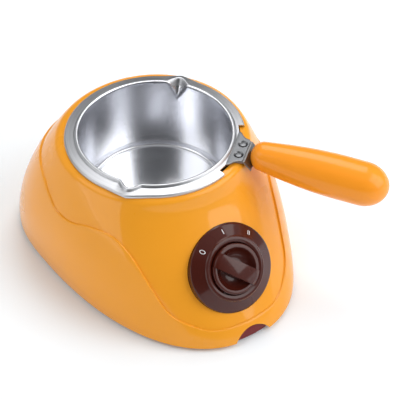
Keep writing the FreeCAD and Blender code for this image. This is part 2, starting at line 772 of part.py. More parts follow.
def dial_plate():
    """The round dial: a slope for its marks, which rises to a crest round the recess for the knob."""
    plate = turned("dial_blank", [
        ("bush_radius", "-dial_depth"), ("dial_recess_radius + dial_wall", "-dial_depth"),
        ("dial_recess_radius + dial_wall", "dial_crest_rise - 1.4 * dial_wall"),
        ("dial_radius - dial_wall", "-dial_wall"), ("dial_radius - dial_wall", "-dial_depth"),
        ("dial_radius", "-dial_depth"), ("dial_radius", "0"),
        ("dial_crest_radius", "dial_crest_rise - dial_crest_round"), ("dial_crest_radius", "dial_crest_rise"),
        ("dial_recess_radius", "dial_crest_rise - dial_crest_dip"),
        ("dial_recess_radius", "dial_wall - dial_depth"), ("bush_radius", "dial_wall - dial_depth")], on_dial())
    round_off(plate, "dial_round", ring_at("dial_radius", "0"))
    round_off(plate, "dial_crest_round / 2", ring_at("dial_crest_radius", "dial_crest_rise"))
    centre = rod("dial_centre", on_dial(out="-2 * dial_depth"), "bush_radius", "dial_depth")
    return cut("dial_plate", plate, centre)


def rotary_switch():
    body = block("switch_case", 0, 0, "-pocket_back - switch_depth", "switch_width", "switch_length",
                 "switch_depth", on_dial() + " * {}")
    round_case = rounded("switch_case_round", body, "dial_wall",
                         lambda e: abs(e.Length - number("switch_depth")) < 0.01)
    bush = rod("switch_bush", on_dial(out="-pocket_back - dial_wall"), "bush_radius",
               "pocket_back + dial_wall - (bush_end)")
    tags = [block(f"switch_tag_{i}", f"{i} * switch_width / 3", "0", "-pocket_back - switch_depth - tag_length",
                  "tag_length * 0.8", "well_wall", "tag_length * 1.2", on_dial() + " * {}") for i in (-1, 0, 1)]
    bore = rod("switch_bore", on_dial(out="-pocket_back - switch_depth * 0.6"), "shaft_radius + shaft_gap",
               "pocket_back * 3")
    return cut("rotary_switch", fuse("switch_solid", round_case, bush, *tags), bore)


def bush_washer():
    disc = rod("bush_washer_disc", on_dial(out="dial_wall - dial_depth"), "bush_nut_radius * 1.05",
               "bush_washer_thickness")
    return cut("bush_washer", disc, rod("bush_washer_hole", on_dial(out="-dial_depth"), "bush_radius",
                                        "2 * dial_depth"))


def bush_nut():
    nut = hexagon("bush_nut_blank", on_dial(out="dial_wall + bush_washer_thickness - dial_depth"),
                  "bush_nut_radius", "bush_nut_height")
    hole = rod("bush_nut_hole", on_dial(out="-dial_depth"), "bush_radius", "2 * dial_depth")
    return cut("bush_nut", nut, hole)


def knob():
    """A hollow round knob: a straight grip across it, and a half-moon scoop on each side of the grip."""
    hub = "bush_radius"
    cup = turned("knob_cup", [
        ("0", "shaft_top"), ("shaft_radius", "shaft_top"), ("shaft_radius", "knob_roof - dial_wall"),
        (hub, "knob_roof - dial_wall"), (hub, "knob_roof"), ("knob_radius - knob_wall", "knob_roof"),
        ("knob_radius - knob_wall", "-knob_base"), ("knob_radius", "-knob_base"), ("knob_radius", "knob_rise"),
        ("0", "knob_rise")], on_dial())
    round_off(cup, "dial_round", ring_at("knob_radius", "knob_rise"))
    disc = rod("knob_disc", on_dial(out="knob_rise - scoop_depth"), "knob_radius", "scoop_depth + grip_rise")
    bar = block("grip_bar", 0, 0, "knob_rise - scoop_depth", "2 * knob_radius + knob_wall", "grip_width",
                "scoop_depth + grip_rise", on_dial(turn="knob_angle + 90") + " * {}")
    grip = common("grip_raw", disc, bar)
    tall = number("scoop_depth + grip_rise")
    grip = rounded("grip_round", grip, "grip_rise * 0.9", lambda e: e.Length > 2 * tall and top_of_grip(e))
    scoop = rod("scoop", on_dial(out="knob_rise - scoop_depth"), "scoop_radius", "2 * knob_rise")
    scooped = cut("knob_scooped", cup, scoop)
    bore = rod("knob_bore", on_dial(out="knob_roof - 2 * dial_wall"), "shaft_radius",
               "shaft_top - knob_roof + 2 * dial_wall")
    return cut("knob", fuse("knob_solid", scooped, grip), bore)


def top_of_grip(edge):
    """True for an edge that lies in the plane of the grip's top."""
    slope = math.radians(number("face_slope"))
    outward = V(0, -math.sin(slope), math.cos(slope))
    centre = V(0, -number("dial_y"), number("dial_height"))
    heights = [(vertex.Point - centre).dot(outward) for vertex in edge.Vertexes]
    return min(heights) > number("knob_rise + grip_rise") - 0.01


def switch_shaft():
    shaft = rod("shaft_round", on_dial(out="-pocket_back - switch_depth * 0.55"), "shaft_radius",
                "pocket_back + switch_depth * 0.55 + shaft_top")
    return rounded("switch_shaft", shaft, "shaft_radius / 6", lambda e: e.Closed)


def pilot_lens():
    """A clear red arch that follows the nose, with a lip behind the housing wall."""
    window = rod("lens_rod", facing_back(0, "-(nose_reach) - skirt_step * 4", "lens_centre"),
                 "lens_radius - dial_gap", "lens_half_width * 2")
    lip = rod("lens_lip_rod", facing_back(0, "-(nose_reach) - skirt_step * 4", "lens_centre"),
              "lens_radius + lens_lip", "lens_half_width * 2")
    face = housing_form("lens_face_form", "lens_inset", "housing_edge", "housing_height")
    wall = housing_form("lens_wall_form", "housing_wall + dial_gap", "housing_edge", "ceiling")
    back = housing_form("lens_back_form", "housing_wall + lens_lip", "0", "ceiling")
    front = cut("lens_front", common("lens_front_raw", face, window), back)
    rear = cut("lens_rear", common("lens_rear_raw", wall, lip), back)
    return fuse("pilot_lens", front, rear)


def neon_lamp():
    glass = rod("neon_lamp", facing_right("-lamp_length / 2", "-(lamp_y)", "lamp_height"), "lamp_radius",
                "lamp_length")
    return glass


def lamp_holder():
    """A clip with two cheeks that stands on the cover and holds the lamp along its middle."""
    base = block("holder_block", 0, "-(lamp_y)", "cover_top", "lamp_length * 0.5",
                 "2 * (lamp_radius + rib_thickness)", "lamp_height - cover_top + lamp_radius / 2")
    seat = rod("holder_seat", facing_right("-lamp_length", "-(lamp_y)", "lamp_height"), "lamp_radius",
               "2 * lamp_length")
    gap = block("holder_gap", 0, "-(lamp_y)", "lamp_height", "lamp_length", "lamp_radius * 1.6",
                "2 * lamp_radius")
    return cut("lamp_holder", base, seat, gap)


def cord_grommet():
    """The rubber inlet bush in the back of the housing."""
    seat = inlet_face()
    place = facing_back(0, seat, "inlet_height")
    wall = "2 * grommet_flange"
    corners = [("inlet_bore_radius", f"-({wall} / 2) - grommet_flange"),
               ("grommet_flange_radius", f"-({wall} / 2) - grommet_flange"),
               ("grommet_flange_radius", f"-({wall} / 2)"), ("grommet_radius", f"-({wall} / 2)"),
               ("grommet_radius", "0"), ("grommet_flange_radius", "0"),
               ("grommet_flange_radius", "grommet_flange"), ("inlet_bore_radius", "grommet_flange")]
    bush = turned("cord_grommet", corners, place)
    round_off(bush, "grommet_flange / 3", ring_at("grommet_flange_radius", "grommet_flange"))
    return bush


def terminal_block():
    case = block("terminal_case", 0, "block_y", "cover_top", "block_length", "block_width",
                 "block_height * 0.5")
    ridge = block("terminal_ridge", 0, "block_y", "cover_top", "block_length", "block_width * 0.55",
                  "block_height")
    tools = []
    for i in (-1, 0, 1):
        x = f"{i} * terminal_pitch"
        tools.append(rod(f"terminal_well_{i}", at(x, "block_y", "cover_top + block_height * 0.55"),
                         "terminal_radius", "block_height"))
        way = facing_back(x, "block_y - block_width", "cover_top + block_height * 0.3")
        tools.append(rod(f"terminal_way_{i}", way, "terminal_radius * 0.8", "2 * block_width"))
    return cut("terminal_block", fuse("terminal_solid", case, ridge), *tools)


def terminal_screws():
    made = []
    for i in (-1, 0, 1):
        head = rod(f"terminal_head_{i}", at(f"{i} * terminal_pitch", "block_y", "cover_top + block_height * 0.55"),
                   "terminal_radius", "terminal_radius")
        slot = block(f"terminal_slot_{i}", f"{i} * terminal_pitch", "block_y",
                     "cover_top + block_height * 0.55 + terminal_radius * 0.6", "terminal_radius * 3",
                     "terminal_radius / 3", "terminal_radius")
        made.append(cut(f"terminal_screw_{i}", head, slot))
    return fuse("terminal_screws", *made)


# The melting pot
def pot_outer():
    wall, edge = "pot_wall", "flange_radius"
    return turned("pot_outer", [
        ("0", "pot_floor - pot_wall"), ("floor_disc_radius - floor_draft", "pot_floor - pot_wall"),
        ("floor_disc_radius + floor_draft", "pot_base"), ("pot_floor_radius - pot_foot / 2", "pot_base"),
        ("pot_floor_radius + pot_wall", "pot_floor + pot_foot"),
        ("pot_mouth_radius + pot_wall", "rim - 2 * bead_lead - pot_wall / 2"),
        ("pot_mouth_radius + 3 * pot_wall", "tab_low"),
        (f"{edge} - {wall}", "housing_height + flange_lip - pot_wall"),
        (f"{edge} - {wall}", "housing_height"), (edge, "housing_height"),
        (edge, "housing_height + flange_lip - flange_chamfer"),
        (f"{edge} - flange_chamfer", "housing_height + flange_lip"),
        ("pot_mouth_radius + 3 * pot_wall", "tab_top"),
        ("pot_mouth_radius + 2 * pot_wall", "rim"), ("0", "rim")])


def pot_cavity():
    shape = turned("pot_cavity", [
        ("0", "pot_floor"), ("floor_disc_radius", "pot_floor"),
        ("floor_disc_radius + 2 * floor_draft", "pot_floor - floor_step"),
        ("pot_floor_radius - pot_foot", "pot_floor - floor_step"), ("pot_floor_radius", "pot_floor + pot_foot"),
        ("pot_mouth_radius", "rim - 2 * bead_lead"), ("pot_mouth_radius + bead_lead", "rim"),
        ("pot_mouth_radius + bead_lead", "rim + spout_depth"), ("0", "rim + spout_depth")])
    round_off(shape, "pot_corner_round", ring_at("pot_floor_radius", "pot_floor + pot_foot"))
    return shape


def teardrop(name, share, grow, turn):
    """A level section of a pouring spout: flanks that run out from the wall to a round tip."""
    heel = number("spout_heel")
    root = number("pot_mouth_radius") - heel
    half = heel + (number("spout_half_width") - heel) * share + grow
    nose = number("spout_round") * (0.1 + 0.9 * share) + grow
    centre = root + heel / 2 + number("spout_reach") * share + grow - nose
    lean = math.atan2(half, root - centre)
    angle = lean - math.acos(nose / math.hypot(half, root - centre))
    corner = V(root, half)
    touch = V(centre + nose * math.cos(angle), nose * math.sin(angle))
    mirror = [V(point.x, -point.y) for point in (corner, touch)]
    edges = [Part.makeLine(corner, touch), Part.Arc(touch, V(centre + nose, 0), mirror[1]).toShape(),
             Part.makeLine(mirror[1], mirror[0]), Part.makeLine(mirror[0], corner)]
    section = doc.addObject("Part::Feature", name)
    section.Shape = Part.Wire(edges)
    section.setExpression(".Placement", formula(at(z=f"rim - spout_depth * {1 - share}", turn=turn)))
    return section


def spout(name, grow, low, high, turn):
    """The V of a pouring spout between two shares of its height, grown outwards by grow."""
    thing = doc.addObject("Part::Loft", name)
    thing.Sections = [teardrop(f"{name}_low", low, number(grow), turn),
                      teardrop(f"{name}_high", high, number(grow), turn)]
    thing.Solid = True
    thing.Ruled = True
    return thing


def handle_tab():
    """The flange's tongue for the handle, with the necked strip it grows from."""
    wide, neck = "tab_root_half_width", "tab_half_width"
    side = [("notch_radius - notch_shoulder", wide + " + notch_shoulder / 2"), ("notch_radius - pot_wall", wide),
            ("notch_radius + pot_wall", f"({wide} + {neck}) / 2"),
            ("notch_radius + tab_length * 0.56", neck + " * 1.07"), ("tab_reach", neck)]
    points = [(x, f"-({y})") for x, y in side] + [(x, y) for x, y in reversed(side)]
    tab = pad("tab", "XY_Plane", points, "pot_wall", at(turn="handle_turn"), lift="tab_low")
    reach, half = number("tab_reach"), number("tab_half_width")
    round_off(tab, "pot_wall", lambda e: e.BoundBox.ZLength > 0.5 and e.BoundBox.XMin > reach - 0.1
              and abs(abs(e.BoundBox.YMax) - half) < 0.2)
    return tab


def flange_corner(side, turn):
    """The soft corner of the flange outside a spout."""
    edge = "flange_radius"
    points = [(f"{edge} * cos(corner_spread)", f"-{edge} * sin(corner_spread)"),
              (f"{edge} + flange_corner", "0"),
              (f"{edge} * cos(corner_spread)", f"{edge} * sin(corner_spread)")]
    corner = pad(f"flange_corner_{side}", "XY_Plane", points, "flange_lip", at(turn=turn),
                 lift="housing_height")
    tip = number("flange_radius + flange_corner")
    round_off(corner, "flange_corner * 3", lambda e: e.BoundBox.ZLength > 1 and e.BoundBox.XMin > tip - 0.1)
    return corner


def pot():
    spouts_out, spouts_in, corners = [], [], []
    for side, turn in (("front", "handle_turn - 90"), ("back", "handle_turn + 90")):
        spouts_out.append(spout(f"spout_skin_{side}", "pot_wall", 0, 1, turn))
        spouts_out.append(spout(f"spout_bead_{side}", "2 * pot_wall", 0.87, 1, turn))
        spouts_in.append(spout(f"spout_way_{side}", "0", 0, 1.1, turn))
        corners.append(flange_corner(side, turn))
    full = fuse("pot_full", pot_outer(), handle_tab(), *spouts_out, *corners)
    sector = solid("Cylinder", "notch_sector", at(turn="handle_turn - notch_half_angle"),
                   Radius="2 * flange_radius", Height="2 * rim", Angle="2 * notch_half_angle")
    core = rod("notch_core", at(), "notch_radius", "2 * rim")
    half, far = "tab_root_half_width + notch_shoulder", "2 * flange_radius"
    keep = pad("notch_keep", "XY_Plane", [("0", f"-({half})"), (far, f"-({half})"), (far, half), ("0", half)],
               "pot_wall", at(turn="handle_turn"), lift="tab_low")
    notch = cut("notch", sector, core, keep)
    countersinks = [solid("Cone", f"tab_sink_{side}", on_handle_line("rivet_at", y, "tab_low"),
                          Radius1="rivet_radius", Radius2="rivet_radius * 2.1", Height="pot_wall")
                    for side, y in both_sides("rivet_spread")]
    return cut("pot", full, pot_cavity(), notch, *spouts_in, *countersinks)


def handle_bracket():
    """Pressed steel: flat under the tab, bent down to the underside of the grip, then a tang inside it."""
    thick = "bracket_thickness"
    inner = "notch_radius + bracket_gap"
    bend = "tab_reach + bracket_bend"
    seat = "grip_start + bracket_seat"
    end = f"tang_top - (tang_end - ({seat})) * sin(handle_droop)"
    side_view = [(inner, f"tab_low - {thick}"), (bend, f"tab_low - {thick}"),
                 (f"{seat} - bracket_gap", f"tang_top - {thick}"), ("tang_end", f"{end} - {thick}"),
                 ("tang_end", end), (seat, "tang_top"), (f"{bend} + 2 * bracket_gap", "tab_low"),
                 (inner, "tab_low")]
    strip = pad("bracket_strip", "XZ_Plane", side_view, "4 * tab_half_width", at(turn="handle_turn"),
                both_ways=True)
    outline = [("notch_radius - bracket_thickness", "tab_half_width + 2 * bracket_thickness"),
               ("tab_reach - tab_length / 2", "tab_half_width + bracket_gap"),
               (seat, "tab_half_width - bracket_bend"), ("grip_start + 3 * bracket_seat", "tang_half_width * 1.4"),
               ("grip_start + 4 * bracket_seat", "tang_half_width"), (f"tang_end + {thick}", "tang_half_width")]
    points = [(x, f"-({y})") for x, y in outline] + [(x, y) for x, y in reversed(outline)]
    plan = pad("bracket_plan", "XY_Plane", points, "housing_height", at(turn="handle_turn"),
               lift="housing_height / 2")
    blank = common("bracket_blank", strip, plan)
    holes = [rod(f"bracket_hole_{side}", on_handle_line("rivet_at", y, "housing_height / 2"), "rivet_radius",
                 "housing_height") for side, y in both_sides("rivet_spread")]
    holes.append(rod("tang_hole", in_grip(0, 0, "grip_screw_at") + " * " + facing_right("0", "0", "0"),
                     "screw_radius", "grip_full_radius * 2"))
    return cut("handle_bracket", blank, *holes)


def bracket_rivets():
    made = []
    for side, y in both_sides("rivet_spread"):
        shank = rod(f"rivet_shank_{side}", on_handle_line("rivet_at", y, "tab_low - bracket_thickness"),
                    "rivet_radius", "bracket_thickness + pot_wall * 0.8")
        head = rod(f"rivet_head_{side}", on_handle_line("rivet_at", y, "tab_low + pot_wall * 0.5"),
                   "rivet_head_radius", "pot_wall * 0.6")
        head = rounded(f"rivet_dome_{side}", head, "pot_wall * 0.25", lambda e: e.Closed and
                       e.BoundBox.ZMin > number("tab_top"))
        made.append(fuse(f"rivet_{side}", shank, head))
    return fuse("bracket_rivets", *made)


def handle_grip():
    """A long pear-shaped grip turned about its own axis, with a slot for the tang."""
    grip = turned("grip_form", [
        ("0", "grip_start"), ("grip_butt_radius", "grip_start"), ("grip_full_radius", "grip_full_at"),
        ("grip_tail_radius", "grip_tail_at"), ("grip_tail_radius - tail_draft", "grip_end"), ("0", "grip_end")],
        in_grip())
    round_off(grip, "grip_full_radius * 11", ring_at("grip_full_radius", "grip_full_at"))
    round_off(grip, "butt_round", ring_at("grip_butt_radius", "grip_start"))
    round_off(grip, "tail_round", ring_at("grip_tail_radius - tail_draft", "grip_end"))
    screw_way = rod("grip_screw_way", in_grip(0, 0, "grip_screw_at") + " * " + facing_right("0", "0", "0"),
                    "screw_radius", "grip_full_radius * 2")
    head_way = rod("grip_head_way", in_grip("bracket_drop + 3 * bracket_thickness", 0, "grip_screw_at") + " * "
                   + facing_right("0", "0", "0"), "screw_head_radius", "grip_full_radius * 2")
    return cut("handle_grip", grip, doc.getObject("handle_bracket"), screw_way, head_way)


def grip_screw():
    shank = rod("grip_screw_shank", in_grip(0, 0, "grip_screw_at") + " * " + facing_right("0", "0", "0"),
                "screw_radius", "bracket_drop + 3 * bracket_thickness")
    head = rod("grip_screw_head", in_grip("bracket_drop + 3 * bracket_thickness", 0, "grip_screw_at") + " * "
               + facing_right("0", "0", "0"), "screw_head_radius", "screw_head_height")
    return fuse("grip_screw", shank, head)


PARTS = [
    upper_housing, bottom_cover, feet, cover_screws, heater_well, heating_disc, mica_insulator, heater_bar,
    bar_screws, stud_washer, stud_nut, thermostat, thermostat_screws, thermal_fuse, fuse_clip, fuse_screw,
    dial_plate, rotary_switch, bush_washer, bush_nut, knob, switch_shaft, pilot_lens, neon_lamp, lamp_holder,
    cord_grommet, terminal_block, terminal_screws, pot, handle_bracket, bracket_rivets, handle_grip, grip_screw,
]
nodes = []
for make in PARTS:
    made = make()
    nodes += made if isinstance(made, list) else [made]
doc.recompute()

# Nothing is written unless every object is sound
faults = [thing.Name for thing in doc.Objects if {"Invalid", "Error"} & set(thing.State)]
faults += [node.Name for node in nodes if node.Shape.isNull() or not node.Shape.isValid()]
if faults:
    raise RuntimeError("these failed: " + ", ".join(faults))

os.makedirs("parts", exist_ok=True)
for node in nodes:
    node.Label = node.Name
    node.Shape.exportStep(f"parts/{node.Label}.step")
print(f"{len(nodes)} sub-parts")
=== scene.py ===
# %% [markdown]
# # A small electric chocolate fondue pot
# The object is a table-top melting pot: a lift-out spun aluminium pot with a side handle stands in a heated
# well, inside a glossy orange housing shaped like an egg, with a dark round dial on its sloping front.
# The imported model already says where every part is. This lesson loads it first and then builds the looks
# around it, so that nothing has to be fitted by eye.

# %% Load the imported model
import math

import bpy
from mathutils import Matrix, Vector


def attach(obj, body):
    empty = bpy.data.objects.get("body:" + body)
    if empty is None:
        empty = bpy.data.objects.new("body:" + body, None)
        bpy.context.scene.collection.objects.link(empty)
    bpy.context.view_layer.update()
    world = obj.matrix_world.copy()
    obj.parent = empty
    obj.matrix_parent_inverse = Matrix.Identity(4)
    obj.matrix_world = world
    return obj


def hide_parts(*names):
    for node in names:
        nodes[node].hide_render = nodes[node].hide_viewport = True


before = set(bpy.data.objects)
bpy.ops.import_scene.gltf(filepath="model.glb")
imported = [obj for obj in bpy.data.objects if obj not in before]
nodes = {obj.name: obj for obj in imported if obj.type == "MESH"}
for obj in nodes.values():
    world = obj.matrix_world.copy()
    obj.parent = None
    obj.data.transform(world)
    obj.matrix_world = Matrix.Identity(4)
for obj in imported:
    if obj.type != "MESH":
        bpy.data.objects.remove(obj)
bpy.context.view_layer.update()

# %% [markdown]
# ## A few tools of our own
# Every operator works on what is selected, so each piece is selected alone before it is changed. Sizes are
# written in millimetres, as on a drawing, and MM turns them into Blender's metres.

# %% Choose one object, and finish its mesh
MM = 0.001


def only(piece):
    """Selects one object and makes it the active one."""
    bpy.ops.object.select_all(action="DESELECT")
    piece.select_set(True)
    bpy.context.view_layer.objects.active = piece
    return piece


def tidy_mesh(piece, sharpest=35):
    """Merges doubled points, turns the faces outwards and shades all but the sharp edges smooth."""
    only(piece)
    bpy.ops.object.mode_set(mode="EDIT")
    bpy.ops.mesh.select_all(action="SELECT")
    bpy.ops.mesh.remove_doubles(threshold=0.002 * MM)
    bpy.ops.mesh.normals_make_consistent(inside=False)
    bpy.ops.object.mode_set(mode="OBJECT")
    bpy.ops.object.shade_smooth_by_angle(angle=math.radians(sharpest))
    return piece


def apply(piece, kind, **settings):
    """Adds a modifier with these settings and applies it at once."""
    only(piece)
    modifier = piece.modifiers.new(kind.lower(), kind)
    for name, value in settings.items():
        setattr(modifier, name, value)
    bpy.ops.object.modifier_apply(modifier=modifier.name)
    return piece


def carve(piece, *cutters, how="DIFFERENCE"):
    """Takes each cutter out of the piece, or keeps or adds what it says, and removes the cutter."""
    for cutter in cutters:
        apply(piece, "BOOLEAN", operation=how, object=cutter, solver="EXACT")
        bpy.data.objects.remove(cutter)
    return piece


# %% [markdown]
# ## Two ways to make a curved skin
# Round pieces are turned, as on a lathe: a circle primitive gives a ring of points, the points are set on
# the outline, and the spin operator sweeps them round the axis. Forms that aren't round are wrapped: a grid
# primitive is carried onto a surface, one point at a time, by a function of two shares.

# %% Outline corners with arcs
def rounded(corners, steps=6):
    """The points of an outline of (across, up) or (across, up, radius) corners, with arcs at the corners."""
    points = [tuple(corners[0][:2])]
    for before, corner, after in zip(corners, corners[1:], corners[2:]):
        here = complex(*corner[:2])
        if len(corner) < 3:
            points.append((here.real, here.imag))
            continue
        back = complex(*before[:2]) - here
        ahead = complex(*after[:2]) - here
        back, ahead = back / abs(back), ahead / abs(ahead)
        half = abs(math.atan2((ahead / back).imag, (ahead / back).real)) / 2
        middle = back + ahead
        centre = here + middle / abs(middle) * corner[2] / math.sin(half)
        first = here + back * corner[2] / math.tan(half) - centre
        last = here + ahead * corner[2] / math.tan(half) - centre
        turn = math.atan2((last / first).imag, (last / first).real)
        for step in range(steps + 1):
            angle = turn * step / steps
            spot = centre + first * complex(math.cos(angle), math.sin(angle))
            points.append((spot.real, spot.imag))
    points.append(tuple(corners[-1][:2]))
    return points


# %% Turn an outline on the lathe
def turned(name, corners, steps=6, around=96, place=Matrix(), sweep=2 * math.pi, sharpest=35):
    """Spins an outline round +Z. One that starts and ends on the axis stays open along it."""
    outline = rounded(corners, steps)
    if outline[0] == outline[-1]:
        outline = outline[:-1]
    bpy.ops.object.select_all(action="DESELECT")
    bpy.ops.mesh.primitive_circle_add(vertices=len(outline))
    piece = bpy.context.object
    piece.name = piece.data.name = name
    for vertex, (across, up) in zip(piece.data.vertices, outline):
        vertex.co = Vector((across, 0, up)) * MM
    on_axis = outline[0][0] == 0 and outline[-1][0] == 0
    bpy.ops.object.mode_set(mode="EDIT")
    bpy.ops.mesh.select_all(action="DESELECT")
    bpy.ops.object.mode_set(mode="OBJECT")
    for edge in piece.data.edges:
        edge.select = on_axis and set(edge.vertices) == {0, len(outline) - 1}
    bpy.ops.object.mode_set(mode="EDIT")
    bpy.ops.mesh.delete(type="EDGE" if on_axis else "ONLY_FACE")
    bpy.ops.mesh.select_all(action="SELECT")
    strips = round(around * sweep / (2 * math.pi))
    bpy.ops.mesh.spin(steps=strips, angle=sweep, center=(0, 0, 0), axis=(0, 0, 1))
    if sweep < 2 * math.pi:
        bpy.ops.mesh.select_all(action="SELECT")
        bpy.ops.mesh.fill_holes(sides=0)
    bpy.ops.object.mode_set(mode="OBJECT")
    tidy_mesh(piece, sharpest)
    piece.data.transform(place)
    return piece


# %% Wrap a grid onto a form
def wrapped(name, columns, rows, form, sharpest=35):
    """Carries each point of a grid to form(u, v), in millimetres, and closes the seams."""
    bpy.ops.object.select_all(action="DESELECT")
    bpy.ops.mesh.primitive_grid_add(x_subdivisions=columns, y_subdivisions=rows, size=1)
    piece = bpy.context.object
    piece.name = piece.data.name = name
    for vertex in piece.data.vertices:
        vertex.co = Vector(form(vertex.co.x + 0.5, vertex.co.y + 0.5)) * MM
    return tidy_mesh(piece, sharpest)


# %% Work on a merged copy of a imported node
def copy_of(node, name, sharpest=35):
    """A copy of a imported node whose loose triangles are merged, so that it can be shaded smooth."""
    piece = nodes[node].copy()
    piece.data = nodes[node].data.copy()
    piece.name = piece.data.name = name
    piece.parent = None
    for key in list(piece.keys()):
        del piece[key]
    bpy.context.scene.collection.objects.link(piece)
    only(piece)
    bpy.ops.object.mode_set(mode="EDIT")
    bpy.ops.mesh.select_all(action="SELECT")
    bpy.ops.mesh.remove_doubles(threshold=0.002 * MM)
    bpy.ops.object.mode_set(mode="OBJECT")
    bpy.ops.object.shade_smooth_by_angle(angle=math.radians(sharpest))
    return piece


# %% Say what a piece is
def belongs(piece, body, slot, finish, *replaced):
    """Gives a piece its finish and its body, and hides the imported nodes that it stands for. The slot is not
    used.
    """
    piece.data.materials.clear()
    piece.data.materials.append(finish)
    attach(piece, body)
    if replaced:
        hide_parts(*replaced)
    print(piece.name, len(piece.data.polygons), "faces")
    return piece


# %% [markdown]
# ## Finishes
# Each effect that several finishes share is a shader node group, so that it is built once and set by
# numbers. The first is what a mould leaves on plastic: a very fine waviness in the gloss and slightly
# uneven colour.

# %% A new node group with named sockets
def new_group(name, inputs, outputs):
    """An empty shader group. Inputs are (name, kind, value) and outputs (name, kind)."""
    group = bpy.data.node_groups.new(name, "ShaderNodeTree")
    for label, kind, value in inputs:
        socket = group.interface.new_socket(label, in_out="INPUT", socket_type="NodeSocket" + kind)
        socket.default_value = value
    for label, kind in outputs:
        group.interface.new_socket(label, in_out="OUTPUT", socket_type="NodeSocket" + kind)
    return group, group.nodes.new("NodeGroupInput"), group.nodes.new("NodeGroupOutput")


def add(tree, kind, **settings):
    """A new node. A setting whose name is a socket's sets that socket, with spaces written as underscores."""
    node = tree.nodes.new("ShaderNode" + kind)
    for name, value in settings.items():
        label = name.replace("_", " ")
        if hasattr(node, name):
            setattr(node, name, value)
        elif label in node.inputs:
            node.inputs[label].default_value = value
        else:
            node.inputs[int(name[1:])].default_value = value
    return node


def join(tree, *pairs):
    for start, end in pairs:
        tree.links.new(start, end)


# %% What a mould leaves on plastic
def moulded_skin():
    group, given, result = new_group(
        "moulded skin",
        [("Colour", "Color", (0.8, 0.8, 0.8, 1)), ("Grain size", "Float", 1.0), ("Unevenness", "Float", 0.04),
         ("Gloss", "Float", 0.2)],
        [("Colour", "Color"), ("Roughness", "Float"), ("Height", "Float")])
    spot = add(group, "TexCoord")
    wide = add(group, "TexNoise", Scale=28.0, Detail=3.0)
    fine = add(group, "TexNoise", Detail=2.0, Roughness=0.6)
    size = add(group, "Math", operation="DIVIDE", _0=2600.0)
    tint = add(group, "MapRange", To_Min=-1.0, To_Max=1.0)
    depth = add(group, "Math", operation="MULTIPLY")
    lift = add(group, "Math", operation="ADD", _1=1.0)
    shade = add(group, "VectorMath", operation="SCALE")
    dull = add(group, "MapRange", From_Min=0.3, From_Max=0.7)
    more = add(group, "Math", operation="MULTIPLY", _1=1.35)
    join(group, (spot.outputs["Object"], wide.inputs["Vector"]),
         (spot.outputs["Object"], fine.inputs["Vector"]),
         (given.outputs["Grain size"], size.inputs[1]), (size.outputs[0], fine.inputs["Scale"]),
         (wide.outputs["Fac"], tint.inputs["Value"]), (tint.outputs["Result"], depth.inputs[0]),
         (given.outputs["Unevenness"], depth.inputs[1]), (depth.outputs[0], lift.inputs[0]),
         (given.outputs["Colour"], shade.inputs[0]), (lift.outputs[0], shade.inputs["Scale"]),
         (wide.outputs["Fac"], dull.inputs["Value"]), (given.outputs["Gloss"], dull.inputs["To Min"]),
         (given.outputs["Gloss"], more.inputs[0]), (more.outputs[0], dull.inputs["To Max"]),
         (shade.outputs["Vector"], result.inputs["Colour"]),
         (dull.outputs["Result"], result.inputs["Roughness"]),
         (fine.outputs["Fac"], result.inputs["Height"]))
    return group


MOULDED = moulded_skin()


# %% [markdown]
# Spun and turned metal is covered with very fine rings round its axis. The rings are noise that changes
# only with the distance from the axis and with the height, so it is read from those two numbers and not
# from the place on the surface. The same group serves sheet metal, where the lines run straight.

